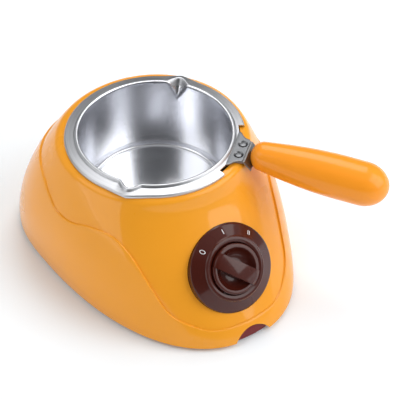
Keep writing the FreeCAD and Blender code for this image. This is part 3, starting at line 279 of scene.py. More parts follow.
# %% Fine lines on metal
def drawn_lines():
    group, given, result = new_group(
        "drawn lines",
        [("Colour", "Color", (0.8, 0.8, 0.8, 1)), ("Lines", "Float", 900.0), ("Contrast", "Float", 0.1),
         ("Gloss", "Float", 0.25), ("Straight", "Float", 0.0)],
        [("Colour", "Color"), ("Roughness", "Float"), ("Height", "Float")])
    spot = add(group, "TexCoord")
    parts = add(group, "SeparateXYZ")
    across = add(group, "Math", operation="MULTIPLY")
    along = add(group, "Math", operation="MULTIPLY_ADD")
    radius = add(group, "Math", operation="SQRT")
    ringed = add(group, "CombineXYZ")
    stretch = add(group, "Mapping", Scale=(1.0, 0.03, 1.0))
    choose = add(group, "Mix", data_type="VECTOR")
    lines = add(group, "TexNoise", Detail=4.0, Roughness=0.7)
    patches = add(group, "TexNoise", Scale=35.0, Detail=2.0)
    tint = add(group, "MapRange", From_Min=0.25, From_Max=0.75, To_Max=1.0)
    least = add(group, "Math", operation="SUBTRACT", _0=1.0)
    shade = add(group, "VectorMath", operation="SCALE")
    dull = add(group, "MapRange", From_Min=0.3, From_Max=0.7)
    more = add(group, "Math", operation="MULTIPLY", _1=1.5)
    blend = add(group, "Math", operation="MULTIPLY_ADD", _1=0.5)
    half = add(group, "Math", operation="MULTIPLY", _1=0.5)
    join(group, (spot.outputs["Object"], parts.inputs[0]), (parts.outputs["X"], across.inputs[0]),
         (parts.outputs["X"], across.inputs[1]), (parts.outputs["Y"], along.inputs[0]),
         (parts.outputs["Y"], along.inputs[1]), (across.outputs[0], along.inputs[2]),
         (along.outputs[0], radius.inputs[0]), (radius.outputs[0], ringed.inputs["X"]),
         (parts.outputs["Z"], ringed.inputs["Z"]), (spot.outputs["Object"], stretch.inputs["Vector"]),
         (given.outputs["Straight"], choose.inputs["Factor"]), (ringed.outputs[0], choose.inputs["A"]),
         (stretch.outputs[0], choose.inputs["B"]), (choose.outputs["Result"], lines.inputs["Vector"]),
         (given.outputs["Lines"], lines.inputs["Scale"]), (spot.outputs["Object"], patches.inputs["Vector"]),
         (lines.outputs["Fac"], tint.inputs["Value"]), (given.outputs["Contrast"], least.inputs[1]),
         (least.outputs[0], tint.inputs["To Min"]), (given.outputs["Colour"], shade.inputs[0]),
         (tint.outputs["Result"], shade.inputs["Scale"]), (lines.outputs["Fac"], blend.inputs[0]),
         (patches.outputs["Fac"], half.inputs[0]), (half.outputs[0], blend.inputs[2]),
         (blend.outputs[0], dull.inputs["Value"]), (given.outputs["Gloss"], dull.inputs["To Min"]),
         (given.outputs["Gloss"], more.inputs[0]), (more.outputs[0], dull.inputs["To Max"]),
         (shade.outputs["Vector"], result.inputs["Colour"]),
         (dull.outputs["Result"], result.inputs["Roughness"]),
         (lines.outputs["Fac"], result.inputs["Height"]))
    return group


DRAWN = drawn_lines()


# %% Build a finish from one group and one shader
def finish(name, group, colour, bump, shader, **values):
    """A material: a group's colour, roughness and height feed a Principled shader with its own settings."""
    material = bpy.data.materials.new(name)
    material.use_nodes = True
    tree = material.node_tree
    principled = tree.nodes["Principled BSDF"]
    for label, value in shader.items():
        principled.inputs[label].default_value = value
    pattern = add(tree, "Group")
    pattern.node_tree = group
    pattern.inputs["Colour"].default_value = (*colour, 1)
    for label, value in values.items():
        pattern.inputs[label.replace("_", " ")].default_value = value
    relief = add(tree, "Bump", Strength=1.0, Distance=bump)
    join(tree, (pattern.outputs["Colour"], principled.inputs["Base Color"]),
         (pattern.outputs["Roughness"], principled.inputs["Roughness"]),
         (pattern.outputs["Height"], relief.inputs["Height"]),
         (relief.outputs[0], principled.inputs["Normal"]))
    return material


# %% The finishes of this pot
GLOSSY = {"Specular IOR Level": 0.14, "Coat Weight": 0.5, "Coat Roughness": 0.05}
SATIN = {"Specular IOR Level": 0.2, "Coat Weight": 0.45, "Coat Roughness": 0.09}
POLISHED = {"Specular IOR Level": 0.15, "Coat Weight": 0.5, "Coat Roughness": 0.07}
CLEAR = {"Specular IOR Level": 0.25, "Coat Weight": 0.3, "Coat Roughness": 0.04}
ORANGE = finish("orange moulding", MOULDED, (0.905, 0.353, 0.020), 0.002 * MM, GLOSSY, Unevenness=0.03,
                Gloss=0.26)
DEEP_ORANGE = finish("deep orange moulding", MOULDED, (0.96, 0.315, 0.012), 0.002 * MM, SATIN,
                     Unevenness=0.03, Gloss=0.36)
MAROON = finish("dark maroon moulding", MOULDED, (0.058, 0.0090, 0.0050), 0.002 * MM, POLISHED,
                Unevenness=0.1, Gloss=0.22)
BLACK = finish("dark grey moulding", MOULDED, (0.03, 0.03, 0.032), 0.03 * MM, {}, Grain_size=2.5,
               Unevenness=0.1, Gloss=0.5)
IVORY = finish("pale moulding", MOULDED, (0.72, 0.70, 0.62), 0.01 * MM, {}, Unevenness=0.05, Gloss=0.4)
RUBBER = finish("rubber", MOULDED, (0.022, 0.022, 0.022), 0.05 * MM, {"Specular IOR Level": 0.3},
                Grain_size=1.5, Unevenness=0.15, Gloss=0.65)
WHITE = finish("white print", MOULDED, (0.80, 0.79, 0.80), 0.001 * MM, {}, Unevenness=0.02, Gloss=0.4)
SPUN = finish("spun aluminium", DRAWN, (0.81, 0.82, 0.855), 0.0003 * MM,
              {"Metallic": 1.0, "Anisotropic": 0.6}, Lines=1100.0, Contrast=0.05, Gloss=0.175)
BRUSHED = finish("brushed aluminium", DRAWN, (0.64, 0.65, 0.675), 0.003 * MM,
                 {"Metallic": 1.0, "Anisotropic": 0.3}, Lines=700.0, Contrast=0.3, Gloss=0.32)
# Painted shade: the pot's own aluminium, darkened for the tongue and the rivets to stand for the dark room
# that they reflect.
ALUMINIUM_WITH_PAINTED_SHADE = finish("aluminium with painted shade", DRAWN, (0.24, 0.245, 0.255), 0.003 * MM, {"Metallic": 1.0}, Lines=900.0,
                Contrast=0.25, Gloss=0.34, Straight=1.0)
PRESSED = finish("pressed aluminium", DRAWN, (0.66, 0.66, 0.67), 0.002 * MM, {"Metallic": 1.0}, Lines=500.0,
                 Contrast=0.15, Gloss=0.34)
CAST = finish("cast aluminium", MOULDED, (0.42, 0.42, 0.43), 0.15 * MM, {"Metallic": 1.0}, Grain_size=2.0,
              Unevenness=0.1, Gloss=0.5)
STEEL = finish("plated steel", DRAWN, (0.50, 0.50, 0.51), 0.002 * MM, {"Metallic": 1.0}, Lines=700.0,
               Contrast=0.15, Gloss=0.3, Straight=1.0)
# Steel of a darker tone, darkened further as painted shade for the bracket, which lies in the shade of the
# tongue and the grip.
DARK_STEEL_WITH_PAINTED_SHADE = finish("bracket steel with painted shade", DRAWN, (0.26, 0.25, 0.245), 0.003 * MM, {"Metallic": 1.0}, Lines=600.0,
                    Contrast=0.25, Gloss=0.32, Straight=1.0)
BRASS = finish("brass", DRAWN, (0.62, 0.45, 0.17), 0.002 * MM, {"Metallic": 1.0}, Lines=800.0, Contrast=0.12,
               Gloss=0.28)
MICA = finish("mica sheet", MOULDED, (0.38, 0.32, 0.22), 0.02 * MM, {}, Grain_size=4.0, Unevenness=0.2,
              Gloss=0.3)
LENS = finish("red lens", MOULDED, (0.16, 0.009, 0.010), 0.002 * MM, CLEAR, Unevenness=0.05, Gloss=0.15)
GLASS = finish("lamp glass", MOULDED, (0.80, 0.70, 0.66), 0.001 * MM,
               {"IOR": 1.5, "Transmission Weight": 0.8}, Unevenness=0.02, Gloss=0.06)

# %% [markdown]
# ## The housing
# The shell is an egg in plan whose size changes with height. Each level is made of two half superellipses,
# one for the front and one for the back, that share their widest place. Because the real moulding is
# defined by the same few sizes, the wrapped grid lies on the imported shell.

# %% The egg at any height
HEIGHT, EDGE, WALL = 84.0, 2.5, 2.2
BELLY, BELLY_HEIGHT = 74.0, 24.0
COLLAR, COLLAR_BACK, COLLAR_BLEND = 57.4, 59.5, 2.0
NOSE, NOSE_ROLL, NOSE_ROLL_HEIGHT = 109.7, 2.7, 12.0
SLOPE = math.radians(55.43)
BACK, BACK_BULGE = 93.4, 1.5
WIDEST_BASE, WIDEST_TOP = 24.9, 3.0
FRONT_FULL, BACK_FULL = 2.25, 2.43


def egg(u, height, inset):
    """A point of the housing's form at a share u round it and a height, moved in by inset."""
    share = min(1.0, max(0.0, height / HEIGHT))
    half_width = BELLY - (BELLY - COLLAR) * ((height - BELLY_HEIGHT) / (HEIGHT - BELLY_HEIGHT)) ** 2 - inset
    overhang = NOSE - height / math.tan(SLOPE) - COLLAR
    front = COLLAR + COLLAR_BLEND * math.log(1 + math.exp(overhang / COLLAR_BLEND))
    front -= NOSE_ROLL * max(0.0, 1 - height / NOSE_ROLL_HEIGHT) ** 2 + inset / math.sin(SLOPE)
    back = BACK + (COLLAR_BACK - BACK) * share + 4 * BACK_BULGE * share * (1 - share) - inset
    widest = WIDEST_BASE + (WIDEST_TOP - WIDEST_BASE) * share
    across, along = math.cos(2 * math.pi * u), math.sin(2 * math.pi * u)
    fullness = 2 + ((FRONT_FULL if along < 0 else BACK_FULL) - 2) * (1 - share ** 6)
    reach = front + widest if along < 0 else back - widest
    x = half_width * math.copysign(abs(across) ** (2 / fullness), across)
    return x, widest + reach * math.copysign(abs(along) ** (2 / fullness), along), height


# %% The shell, from its lower edge up to the opening
OPENING = 51.6
SHOULDER = 3.0
SIDE_ROWS, SHOULDER_ROWS, TOP_ROWS = 44, 8, 4
ROWS = SIDE_ROWS + SHOULDER_ROWS + TOP_ROWS


def shell_form(u, v):
    row = round(v * ROWS)
    if row <= SIDE_ROWS:
        return egg(u, EDGE + (HEIGHT - SHOULDER - EDGE) * row / SIDE_ROWS, 0)
    if row <= SIDE_ROWS + SHOULDER_ROWS:
        angle = math.pi / 2 * (row - SIDE_ROWS) / SHOULDER_ROWS
        return egg(u, HEIGHT - SHOULDER * (1 - math.sin(angle)), SHOULDER * (1 - math.cos(angle)))
    x, y, z = egg(u, HEIGHT, SHOULDER)
    share = (row - SIDE_ROWS - SHOULDER_ROWS) / TOP_ROWS
    angle = math.atan2(y, x)
    return x + (OPENING * math.cos(angle) - x) * share, y + (OPENING * math.sin(angle) - y) * share, z


shell = wrapped("housing_shell", 256, ROWS, shell_form)
apply(shell, "SOLIDIFY", thickness=WALL * MM, offset=-1)

# %% [markdown]
# ## The raised skirt
# A second skin covers the lower part of the housing, one millimetre proud. Its top edge is the curved step
# that swings over the belly and dives to the nose. At each place round the egg the edge is where the skin's
# height meets that line, which is found by halving an interval.

# %% The step line and the skirt
STEP = 1.0
STEP_ROUND = 0.6
STEP_LINE = (
    (-115.2, 11.5), (-99.8, 12.3), (-90.3, 16.4), (-80.2, 22.5), (-68.8, 35.4), (-53.5, 52.5), (-44.6, 59.3),
    (-36.7, 62.3), (-23.8, 61.3), (-12.7, 57.5), (2.2, 56.7), (13.2, 61.3), (24.1, 65.9), (37.3, 67.6),
    (65.8, 67.2), (104.2, 67.2),
)


def step_height(y):
    """The height of the step line at a place from front to back, as a smooth curve through its points."""
    i = max(1, min(len(STEP_LINE) - 3, sum(point[0] < y for point in STEP_LINE) - 1))
    before, start, end, after = STEP_LINE[i - 1:i + 3]
    share = min(1.0, max(0.0, (y - start[0]) / (end[0] - start[0])))
    rise_in = (end[1] - before[1]) / (end[0] - before[0]) * (end[0] - start[0])
    rise_out = (after[1] - start[1]) / (after[0] - start[0]) * (end[0] - start[0])
    a = 2 * start[1] - 2 * end[1] + rise_in + rise_out
    b = -3 * start[1] + 3 * end[1] - 2 * rise_in - rise_out
    return ((a * share + b) * share + rise_in) * share + start[1]


def step_at(u):
    """The height at which the skirt ends, at a share u round the housing."""
    low, high = EDGE, HEIGHT - SHOULDER
    for _ in range(24):
        middle = (low + high) / 2
        if middle < step_height(egg(u, middle, -STEP)[1]):
            low = middle
        else:
            high = middle
    return low


SKIRT_ROWS, ROUND_ROWS = 30, 5


def skirt_form(u, v):
    row = round(v * (SKIRT_ROWS + ROUND_ROWS + 1))
    top = step_tops[round(u * SKIRT_COLUMNS)]
    if row <= SKIRT_ROWS:
        return egg(u, EDGE + (top - STEP_ROUND - EDGE) * row / SKIRT_ROWS, -STEP)
    if row <= SKIRT_ROWS + ROUND_ROWS:
        angle = math.pi / 2 * (row - SKIRT_ROWS) / ROUND_ROWS
        return egg(u, top - STEP_ROUND * (1 - math.sin(angle)), -STEP + STEP_ROUND * (1 - math.cos(angle)))
    return egg(u, top, STEP_ROUND)


SKIRT_COLUMNS = 512
step_tops = [step_at(i / SKIRT_COLUMNS) for i in range(SKIRT_COLUMNS + 1)]
skirt = wrapped("housing_skirt", SKIRT_COLUMNS, SKIRT_ROWS + ROUND_ROWS + 1, skirt_form)
apply(skirt, "SOLIDIFY", thickness=STEP * MM, offset=-1)
print("the step line runs between", round(min(step_tops), 1), "and", round(max(step_tops), 1), "mm")

# %% [markdown]
# ## Openings in the housing
# The dial sits in a round pocket square to the sloping front, the pilot lens in an arch cut up from the
# lower edge of the nose, and the mains lead comes in through a flat-faced hole at the back. Each is cut
# with a turned cutter, which leaves the same clean edge that a mould does.

# %% Where the dial sits
DIAL_RADIUS, DIAL_GAP, DIAL_HEIGHT = 27.1, 0.15, 40.0
DIAL_PLACE = Vector((0, DIAL_HEIGHT / math.tan(SLOPE) - NOSE, DIAL_HEIGHT)) * MM
DIAL = Matrix.Translation(DIAL_PLACE) @ Matrix.Rotation(SLOPE, 4, "X")
LENS_HALF, LENS_RISE = 12.0, 6.8
LENS_RADIUS = (LENS_HALF ** 2 + LENS_RISE ** 2) / (2 * LENS_RISE)
LENS_HEIGHT = EDGE + LENS_RISE - LENS_RADIUS
INLET_HEIGHT, INLET_FACE, INLET_FLANGE, INLET_BORE = 16.0, 84.06, 8.3, 5.5


def disc(name, radius, low, high, place):
    return turned(name, [(0, low), (radius, low), (radius, high), (0, high)], place=place, around=128)


def facing_back(y, z):
    return Matrix.Translation(Vector((0, y, z)) * MM) @ Matrix.Rotation(-math.pi / 2, 4, "X")


for skin in (shell, skirt):
    carve(skin, disc("arch", LENS_RADIUS, 0, 25, facing_back(-NOSE - 4, LENS_HEIGHT)),
          disc("flat", INLET_FLANGE, 0, 30, facing_back(INLET_FACE, INLET_HEIGHT)),
          disc("hole", INLET_BORE, -30, 30, facing_back(INLET_FACE, INLET_HEIGHT)))
carve(shell, disc("pocket", DIAL_RADIUS + DIAL_GAP, -9, 9, DIAL))
for skin in (shell, skirt):
    only(skin)
    bpy.ops.object.shade_smooth_by_angle(angle=math.radians(35))
belongs(shell, "base", "orange_shell", ORANGE, "upper_housing")
belongs(skirt, "base", "orange_shell", ORANGE)

# %% [markdown]
# ## The dial
# The dial is one dark moulding that rises from its rim to a raised collar round the knob, with three white
# marks.

# %% The dial plate
CREST, RECESS, RECESS_FLOOR, BUSH_HOLE = 5.4, 15.9, -3.7, 4.8
DIAL_BACK, HOLLOW_INSIDE, HOLLOW_OUTSIDE, HOLLOW_TOP = -5.2, 18.1, 25.6, -1.5
dial = turned("dial_face", [
    (BUSH_HOLE, DIAL_BACK), (HOLLOW_INSIDE, DIAL_BACK), (HOLLOW_INSIDE, HOLLOW_TOP),
    (HOLLOW_OUTSIDE, HOLLOW_TOP), (HOLLOW_OUTSIDE, DIAL_BACK), (DIAL_RADIUS, DIAL_BACK),
    (DIAL_RADIUS, 0.2, 0.8), (26.2, 0.9, 1.5), (19.6, CREST - 0.9, 1.2), (19.2, CREST, 0.7),
    (17.6, CREST + 0.1, 1.2), (RECESS, CREST - 0.3, 0.4), (RECESS, RECESS_FLOOR, 0.2),
    (BUSH_HOLE, RECESS_FLOOR), (BUSH_HOLE, DIAL_BACK)], around=160, place=DIAL)
belongs(dial, "base", "maroon_dial", MAROON, "dial_plate")

# %% The three marks
MARK_RADIUS = 23.1
MARK_RISE = 2.75
MARK_LEAN = math.atan2(CREST - 1.2, 6.6)
OFF_TURN, LOW_TURN, HIGH_TURN = -42, 3, 47
BAR_WIDTH, LONG_BAR, SHORT_BAR, BAR_SHIFT, BAR_THICKNESS = 0.5, 3.2, 2.8, 0.55, 0.3


def on_dial_slope(turn):
    """A place on the dial's slope, with +Y running out along it; turn is clockwise from the top."""
    return (DIAL @ Matrix.Rotation(math.radians(-turn), 4, "Z")
            @ Matrix.Translation(Vector((0, MARK_RADIUS, MARK_RISE)) * MM)
            @ Matrix.Rotation(-MARK_LEAN, 4, "X"))


def bar_mark(name, turn, shift, length):
    """A thin raised bar that points at the knob, moved sideways by shift."""
    bpy.ops.object.select_all(action="DESELECT")
    bpy.ops.mesh.primitive_cube_add(size=1)
    mark = bpy.context.object
    mark.name = mark.data.name = name
    mark.data.transform(Matrix.Diagonal((BAR_WIDTH * MM, length * MM, BAR_THICKNESS * MM, 1)))
    apply(mark, "BEVEL", width=0.12 * MM, segments=2)
    mark.data.transform(on_dial_slope(turn) @ Matrix.Translation((shift * MM, 0, 0)))
    return tidy_mesh(mark)


zero = turned("mark_off", [
    (1.6, -0.12), (2.2, -0.12), (2.2, 0.15, 0.1), (1.6, 0.15, 0.1), (1.6, -0.12)], steps=3, around=48,
    place=on_dial_slope(OFF_TURN) @ Matrix.Diagonal((0.52, 0.86, 1, 1)))
marks = [zero, bar_mark("mark_low", LOW_TURN, 0, LONG_BAR),
         bar_mark("mark_high_a", HIGH_TURN, -BAR_SHIFT, SHORT_BAR),
         bar_mark("mark_high_b", HIGH_TURN, BAR_SHIFT, SHORT_BAR)]
for mark in marks:
    belongs(mark, "base", "maroon_dial", WHITE)

# %% [markdown]
# ## The knob
# The knob is a cup with a straight grip across it. A round scoop on each side of the grip makes room for
# the fingers: the cup is turned with its scoop, and a bevelled bar is cut to the cup's circle and added to
# it.

# %% The knob's cup and grip
KNOB_RADIUS, KNOB_TOP, SCOOP, SCOOP_FLOOR = 15.3, 7.2, 12.4, 2.8
GRIP_WIDTH, GRIP_TOP, GRIP_SINK, GRIP_SPARE = 9.2, 8.8, 0.6, 4.0
GRIP_TURN = math.radians(45 + 90)
cup = turned("knob_cup", [
    (0, 1.3), (13.3, 1.3), (13.3, -3.2), (KNOB_RADIUS, -3.2), (KNOB_RADIUS, KNOB_TOP, 0.9),
    (SCOOP + 0.5, KNOB_TOP, 0.6), (SCOOP - 2.2, SCOOP_FLOOR, 7.0), (0, SCOOP_FLOOR)], steps=8, around=160)
bpy.ops.object.select_all(action="DESELECT")
bpy.ops.mesh.primitive_cube_add(size=1, location=(0, 0, (GRIP_TOP + SCOOP_FLOOR - GRIP_SINK) / 2 * MM))
grip = bpy.context.object
grip.name = grip.data.name = "knob_grip"
grip.scale = Vector((2 * KNOB_RADIUS + GRIP_SPARE, GRIP_WIDTH, GRIP_TOP - SCOOP_FLOOR + GRIP_SINK)) * MM
bpy.ops.object.transform_apply(location=True, rotation=True, scale=True)
carve(grip, turned("grip_ends", [(0, 0), (KNOB_RADIUS - 0.05, 0), (KNOB_RADIUS - 0.05, GRIP_TOP - 1.2, 1),
                                 (KNOB_RADIUS - 2.4, GRIP_TOP + 0.1, 1), (0, GRIP_TOP + 0.2)], around=160),
      how="INTERSECT")
apply(grip, "BEVEL", width=0.7 * MM, segments=4, limit_method="ANGLE", angle_limit=math.radians(40))
tidy_mesh(grip)
for piece in (cup, grip):
    piece.data.transform(DIAL @ Matrix.Rotation(GRIP_TURN, 4, "Z"))
belongs(cup, "knob", "maroon_dial", MAROON, "knob")
belongs(grip, "knob", "maroon_dial", MAROON)

# %% [markdown]
# ## The melting pot
# The pot is one sheet of aluminium spun to shape. Its outline is turned first, from the middle of the floor
# up the wall, over the rolled bead and out along the flange. The two pouring lips are then pressed into it:
# near each one the points move outwards in a V that narrows as it goes down the wall.

# %% The pot's outline
RIM, POT_FLOOR, POT_BASE, MOUTH, FLANGE = 87.9, 38.4, 36.5, 46.2, 54.8
POT_OUTLINE = [
    (0, POT_FLOOR), (40.6, POT_FLOOR, 0.8), (41.3, POT_FLOOR - 0.9, 0.5), (43.9, POT_FLOOR - 0.9, 1.9),
    (MOUTH, RIM - 1.4, 6.0), (46.5, RIM, 0.75), (48.1, RIM, 0.75), (48.9, RIM - 1.5, 0.8),
    (54.1, RIM - 2.0, 0.5), (FLANGE, RIM - 2.6, 0.5), (FLANGE, HEIGHT + 0.05), (FLANGE - 0.9, HEIGHT + 0.05),
    (FLANGE - 1.1, HEIGHT + 1.0, 0.3), (47.4, HEIGHT + 1.6, 0.6), (44.9, 38.5, 2.4), (43.8, POT_BASE, 1.4),
    (0, POT_BASE),
]
SPOUT_REACH, SPOUT_HALF, SPOUT_DEPTH, SPOUT_TIP = 5.2, 7.2, 10.5, 0.36
CORNER_RISE, CORNER_SPREAD = 2.2, math.radians(15)
BEAD_OUTSIDE, FLANGE_START, WALL_RINGS = 47.6, 49.2, 24
HANDLE_TURN = math.radians(-50)
SPOUT_TURNS = (HANDLE_TURN - math.pi / 2, HANDLE_TURN + math.pi / 2)


def pressed_out(across, up, angle):
    """How far the press moves a point of the pot outwards."""
    for turn in SPOUT_TURNS:
        off = abs(math.remainder(angle - turn, 2 * math.pi))
        if off > CORNER_SPREAD:
            continue
        depth = min(1.0, max(0.0, 1 - (RIM - up) / SPOUT_DEPTH))
        depth = max(depth, min(1.0, max(0.0, across - BEAD_OUTSIDE)))
        half = 1 + (SPOUT_HALF - 1) * depth
        vee = max(0.0, 1 - math.hypot(off * MOUTH / half, SPOUT_TIP)) / (1 - SPOUT_TIP)
        flat = min(1.0, max(0.0, (FLANGE - across) / (FLANGE - FLANGE_START)))
        corner = CORNER_RISE * (1 - off / CORNER_SPREAD) ** 1.5 * (1 - flat)
        return SPOUT_REACH * depth * vee * flat + corner
    return 0.0


# %% Spin it, and press the lips
pot_points = rounded(POT_OUTLINE, 6)
wall_start = max(range(len(pot_points) - 1), key=lambda i: abs(pot_points[i + 1][1] - pot_points[i][1]))
wall = []
for ring in range(1, WALL_RINGS):
    share = ring / WALL_RINGS
    (r0, z0), (r1, z1) = pot_points[wall_start], pot_points[wall_start + 1]
    wall.append((r0 + (r1 - r0) * share, z0 + (z1 - z0) * share))
pot_points[wall_start + 1:wall_start + 1] = wall
POT_ROWS, POT_COLUMNS = len(pot_points) - 1, 480


def pot_form(u, v):
    across, up = pot_points[round(v * POT_ROWS)]
    angle = 2 * math.pi * u
    across += pressed_out(across, up, angle)
    return across * math.cos(angle), across * math.sin(angle), up


vessel = wrapped("melting_pot", POT_COLUMNS, POT_ROWS, pot_form, sharpest=40)

# %% [markdown]
# The flange is cut away on both sides of the handle, where only a narrow strip is left outside the bead,
# and a tongue of the same sheet carries the handle.

# %% The notch and the tongue
NOTCH_HALF, NOTCH_RADIUS, NOTCH_OUTSIDE, NOTCH_LOW, NOTCH_HIGH = math.radians(24.4), 50.8, 60, 83, 90
BRUSHED_FROM = 47.3
notch = turned("notch", [
    (NOTCH_RADIUS, NOTCH_LOW), (NOTCH_OUTSIDE, NOTCH_LOW), (NOTCH_OUTSIDE, NOTCH_HIGH),
    (NOTCH_RADIUS, NOTCH_HIGH), (NOTCH_RADIUS, NOTCH_LOW)], around=360, sweep=2 * NOTCH_HALF,
    place=Matrix.Rotation(HANDLE_TURN + NOTCH_HALF, 4, "Z"))
carve(vessel, notch)
only(vessel)
bpy.ops.object.shade_smooth_by_angle(angle=math.radians(40))
belongs(vessel, "pot", "spun_aluminium", SPUN, "pot")
vessel.data.materials.append(BRUSHED)
for face in vessel.data.polygons:
    centre = face.center / MM
    if centre.z > HEIGHT and math.hypot(centre.x, centre.y) > BRUSHED_FROM:
        face.material_index = 1

TONGUE = ((48.4, 15.5), (50.2, 14.6), (51.4, 12.9), (52.6, 11.4), (54.2, 10.4), (55.6, 10.0), (56.6, 9.8),
          (57.0, 9.4), (57.2, 8.8))
TONGUE_TOP, SHEET = RIM - 1.4, 1.0


def tongue_form(u, v):
    along, half = TONGUE[round(v * (len(TONGUE) - 1))]
    return along, (2 * u - 1) * half, TONGUE_TOP


HANDLE_LINE = Matrix.Rotation(HANDLE_TURN, 4, "Z")
RIVET_AT, RIVET_SPREAD = 53.6, 4.9
tongue = wrapped("handle_tongue", 24, len(TONGUE) - 1, tongue_form)
apply(tongue, "SOLIDIFY", thickness=SHEET * MM, offset=-1)
for side in (-RIVET_SPREAD, RIVET_SPREAD):
    carve(tongue, turned("sink", [(0, -1.2), (1.5, -1.2), (3.1, 0.05), (0, 0.05)], around=48,
                         place=Matrix.Translation(Vector((RIVET_AT, side, TONGUE_TOP)) * MM)))
apply(tongue, "BEVEL", width=0.18 * MM, segments=2, limit_method="ANGLE", angle_limit=math.radians(50))
tongue.data.transform(HANDLE_LINE)
only(tongue)
bpy.ops.object.shade_smooth_by_angle(angle=math.radians(35))
# The tongue's aluminium is darkened as painted shade.
belongs(tongue, "pot", "spun_aluminium", ALUMINIUM_WITH_PAINTED_SHADE)

# %% [markdown]
# ## The handle
# A pressed steel bracket is riveted under the tongue and runs down into the grip. The grip is a long pear
# shape with a blunt nose and a round tail, on an axis that drops a little towards its end. Its outline is
# worked out from those three and turned, and a counterbore for the screw is cut up into it from below.

# %% The grip
DROOP = math.radians(5.7)
GRIP_LINE = (Matrix.Translation((0, 0, (RIM + 3.2) * MM)) @ Matrix.Rotation(HANDLE_TURN, 4, "Z")
             @ Matrix.Rotation(math.pi / 2 + DROOP, 4, "Y"))
GRIP_START, GRIP_END, GRIP_STEPS = 60.3, 144.9, 48
NOSE_RADIUS, FULL_RADIUS, SWELL_LENGTH, NOSE_LENGTH, TAIL_LENGTH = 7.8, 13.3, 56.0, 6.0, 16.0
SCREW_ALONG, SCREW_DEPTH, SCREW_WAY = 84.0, 9.8, 3.2


def grip_radius(along, thinner=0.0):
    """The grip's radius at a place along it."""
    done, left = along - GRIP_START, GRIP_END - along
    swell = NOSE_RADIUS + (FULL_RADIUS - NOSE_RADIUS) * math.sin(math.pi / 2 * min(1.0, done / SWELL_LENGTH))
    nose = math.sqrt(1 - max(0.0, 1 - done / NOSE_LENGTH) ** 2)
    tail = math.sqrt(1 - max(0.0, 1 - left / TAIL_LENGTH) ** 2)
    return max(0.0, swell * nose * tail - thinner)


grip_outline = [(0, GRIP_START)]
for step in range(1, GRIP_STEPS):
    along = (GRIP_START + GRIP_END) / 2 - (GRIP_END - GRIP_START) / 2 * math.cos(math.pi * step / GRIP_STEPS)
    grip_outline.append((grip_radius(along), along))
handle = turned("handle_grip_orange", grip_outline + [(0, GRIP_END)], around=96, place=GRIP_LINE)
screw_seat = GRIP_LINE @ Matrix.Translation((SCREW_DEPTH * MM, 0, SCREW_ALONG * MM))
carve(handle, disc("screw_way", SCREW_WAY, 0, 9, screw_seat @ Matrix.Rotation(math.pi / 2, 4, "Y")))
only(handle)
bpy.ops.object.shade_smooth_by_angle(angle=math.radians(40))
belongs(handle, "pot", "orange_shell", DEEP_ORANGE, "handle_grip")

# %% The bracket, trimmed to the grip's nose, and its rivets
bracket = copy_of("handle_bracket", "handle_bracket_steel")
SLEEVE_PLACES, SLEEVE_OUTSIDE, SKIN = (3, 4, 5, 6, 9, 12, 16, 20, 36), 30, 0.5
sleeve = [(grip_radius(GRIP_START + along, SKIN), GRIP_START + along) for along in SLEEVE_PLACES]
sleeve += [(SLEEVE_OUTSIDE, sleeve[-1][1]), (SLEEVE_OUTSIDE, sleeve[0][1]), sleeve[0]]
carve(bracket, turned("sleeve", sleeve, place=GRIP_LINE))
apply(bracket, "BEVEL", width=0.15 * MM, segments=2, limit_method="ANGLE", angle_limit=math.radians(40))
only(bracket)
bpy.ops.object.shade_smooth_by_angle(angle=math.radians(35))
# The bracket's steel is partly darkened as painted shade.
belongs(bracket, "pot", "bracket_steel", DARK_STEEL_WITH_PAINTED_SHADE, "handle_bracket")

RIVET_OUTLINE = [(0, -1.9), (1.5, -1.9), (1.5, -0.6), (1.95, -0.5), (1.95, -0.1, 0.3), (0, 0.15)]
# The rivets take the same aluminium, darkened as painted shade.
for i, side in enumerate((-RIVET_SPREAD, RIVET_SPREAD)):
    seat = HANDLE_LINE @ Matrix.Translation(Vector((RIVET_AT, side, TONGUE_TOP)) * MM)
    rivet = turned(f"rivet_{i + 1}", RIVET_OUTLINE, around=48, place=seat)
    belongs(rivet, "pot", "spun_aluminium", ALUMINIUM_WITH_PAINTED_SHADE, *(["bracket_rivets"] if i == 0 else []))

# %% [markdown]
# ## The well
# The well shows once the pot is lifted out. It is pressed from one sheet: a flat floor, a nearly upright
# wall and a wider mouth that hangs under the top of the housing by its flange.

# %% Press the well
WELL_FLOOR, WELL_RADIUS, WELL_WAIST, WELL_LIP, WELL_WALL = POT_BASE - 0.3, 46.6, 48.4, 54.4, 0.8
WAIST, MOUTH_SEAT, CEILING, WELL_ROUND = HEIGHT - 12.0, HEIGHT - 7.0, HEIGHT - WALL, 2.0
well_inside = [
    (0, WELL_FLOOR), (WELL_RADIUS, WELL_FLOOR, 4 * WELL_WALL), (WELL_WAIST, WAIST, WELL_ROUND),
    (OPENING, MOUTH_SEAT, WELL_ROUND), (OPENING, CEILING)]
well_outside = [
    (WELL_LIP, CEILING), (WELL_LIP, CEILING - WELL_WALL), (OPENING + WELL_WALL, CEILING - WELL_WALL),
    (OPENING + WELL_WALL, MOUTH_SEAT - WELL_WALL / 2, WELL_ROUND),
    (WELL_WAIST + WELL_WALL, WAIST - WELL_WALL / 2, WELL_ROUND),
    (WELL_RADIUS + WELL_WALL, WELL_FLOOR - WELL_WALL, 5 * WELL_WALL), (0, WELL_FLOOR - WELL_WALL)]
well = turned("heater_well_pressed", well_inside + well_outside, around=240)
belongs(well, "base", "well_aluminium", PRESSED, "heater_well")

# %% [markdown]
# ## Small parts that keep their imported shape
# The other parts already have the right shape. Round ones that show are copied and shaded smooth, and the
# ones inside only get their finish.

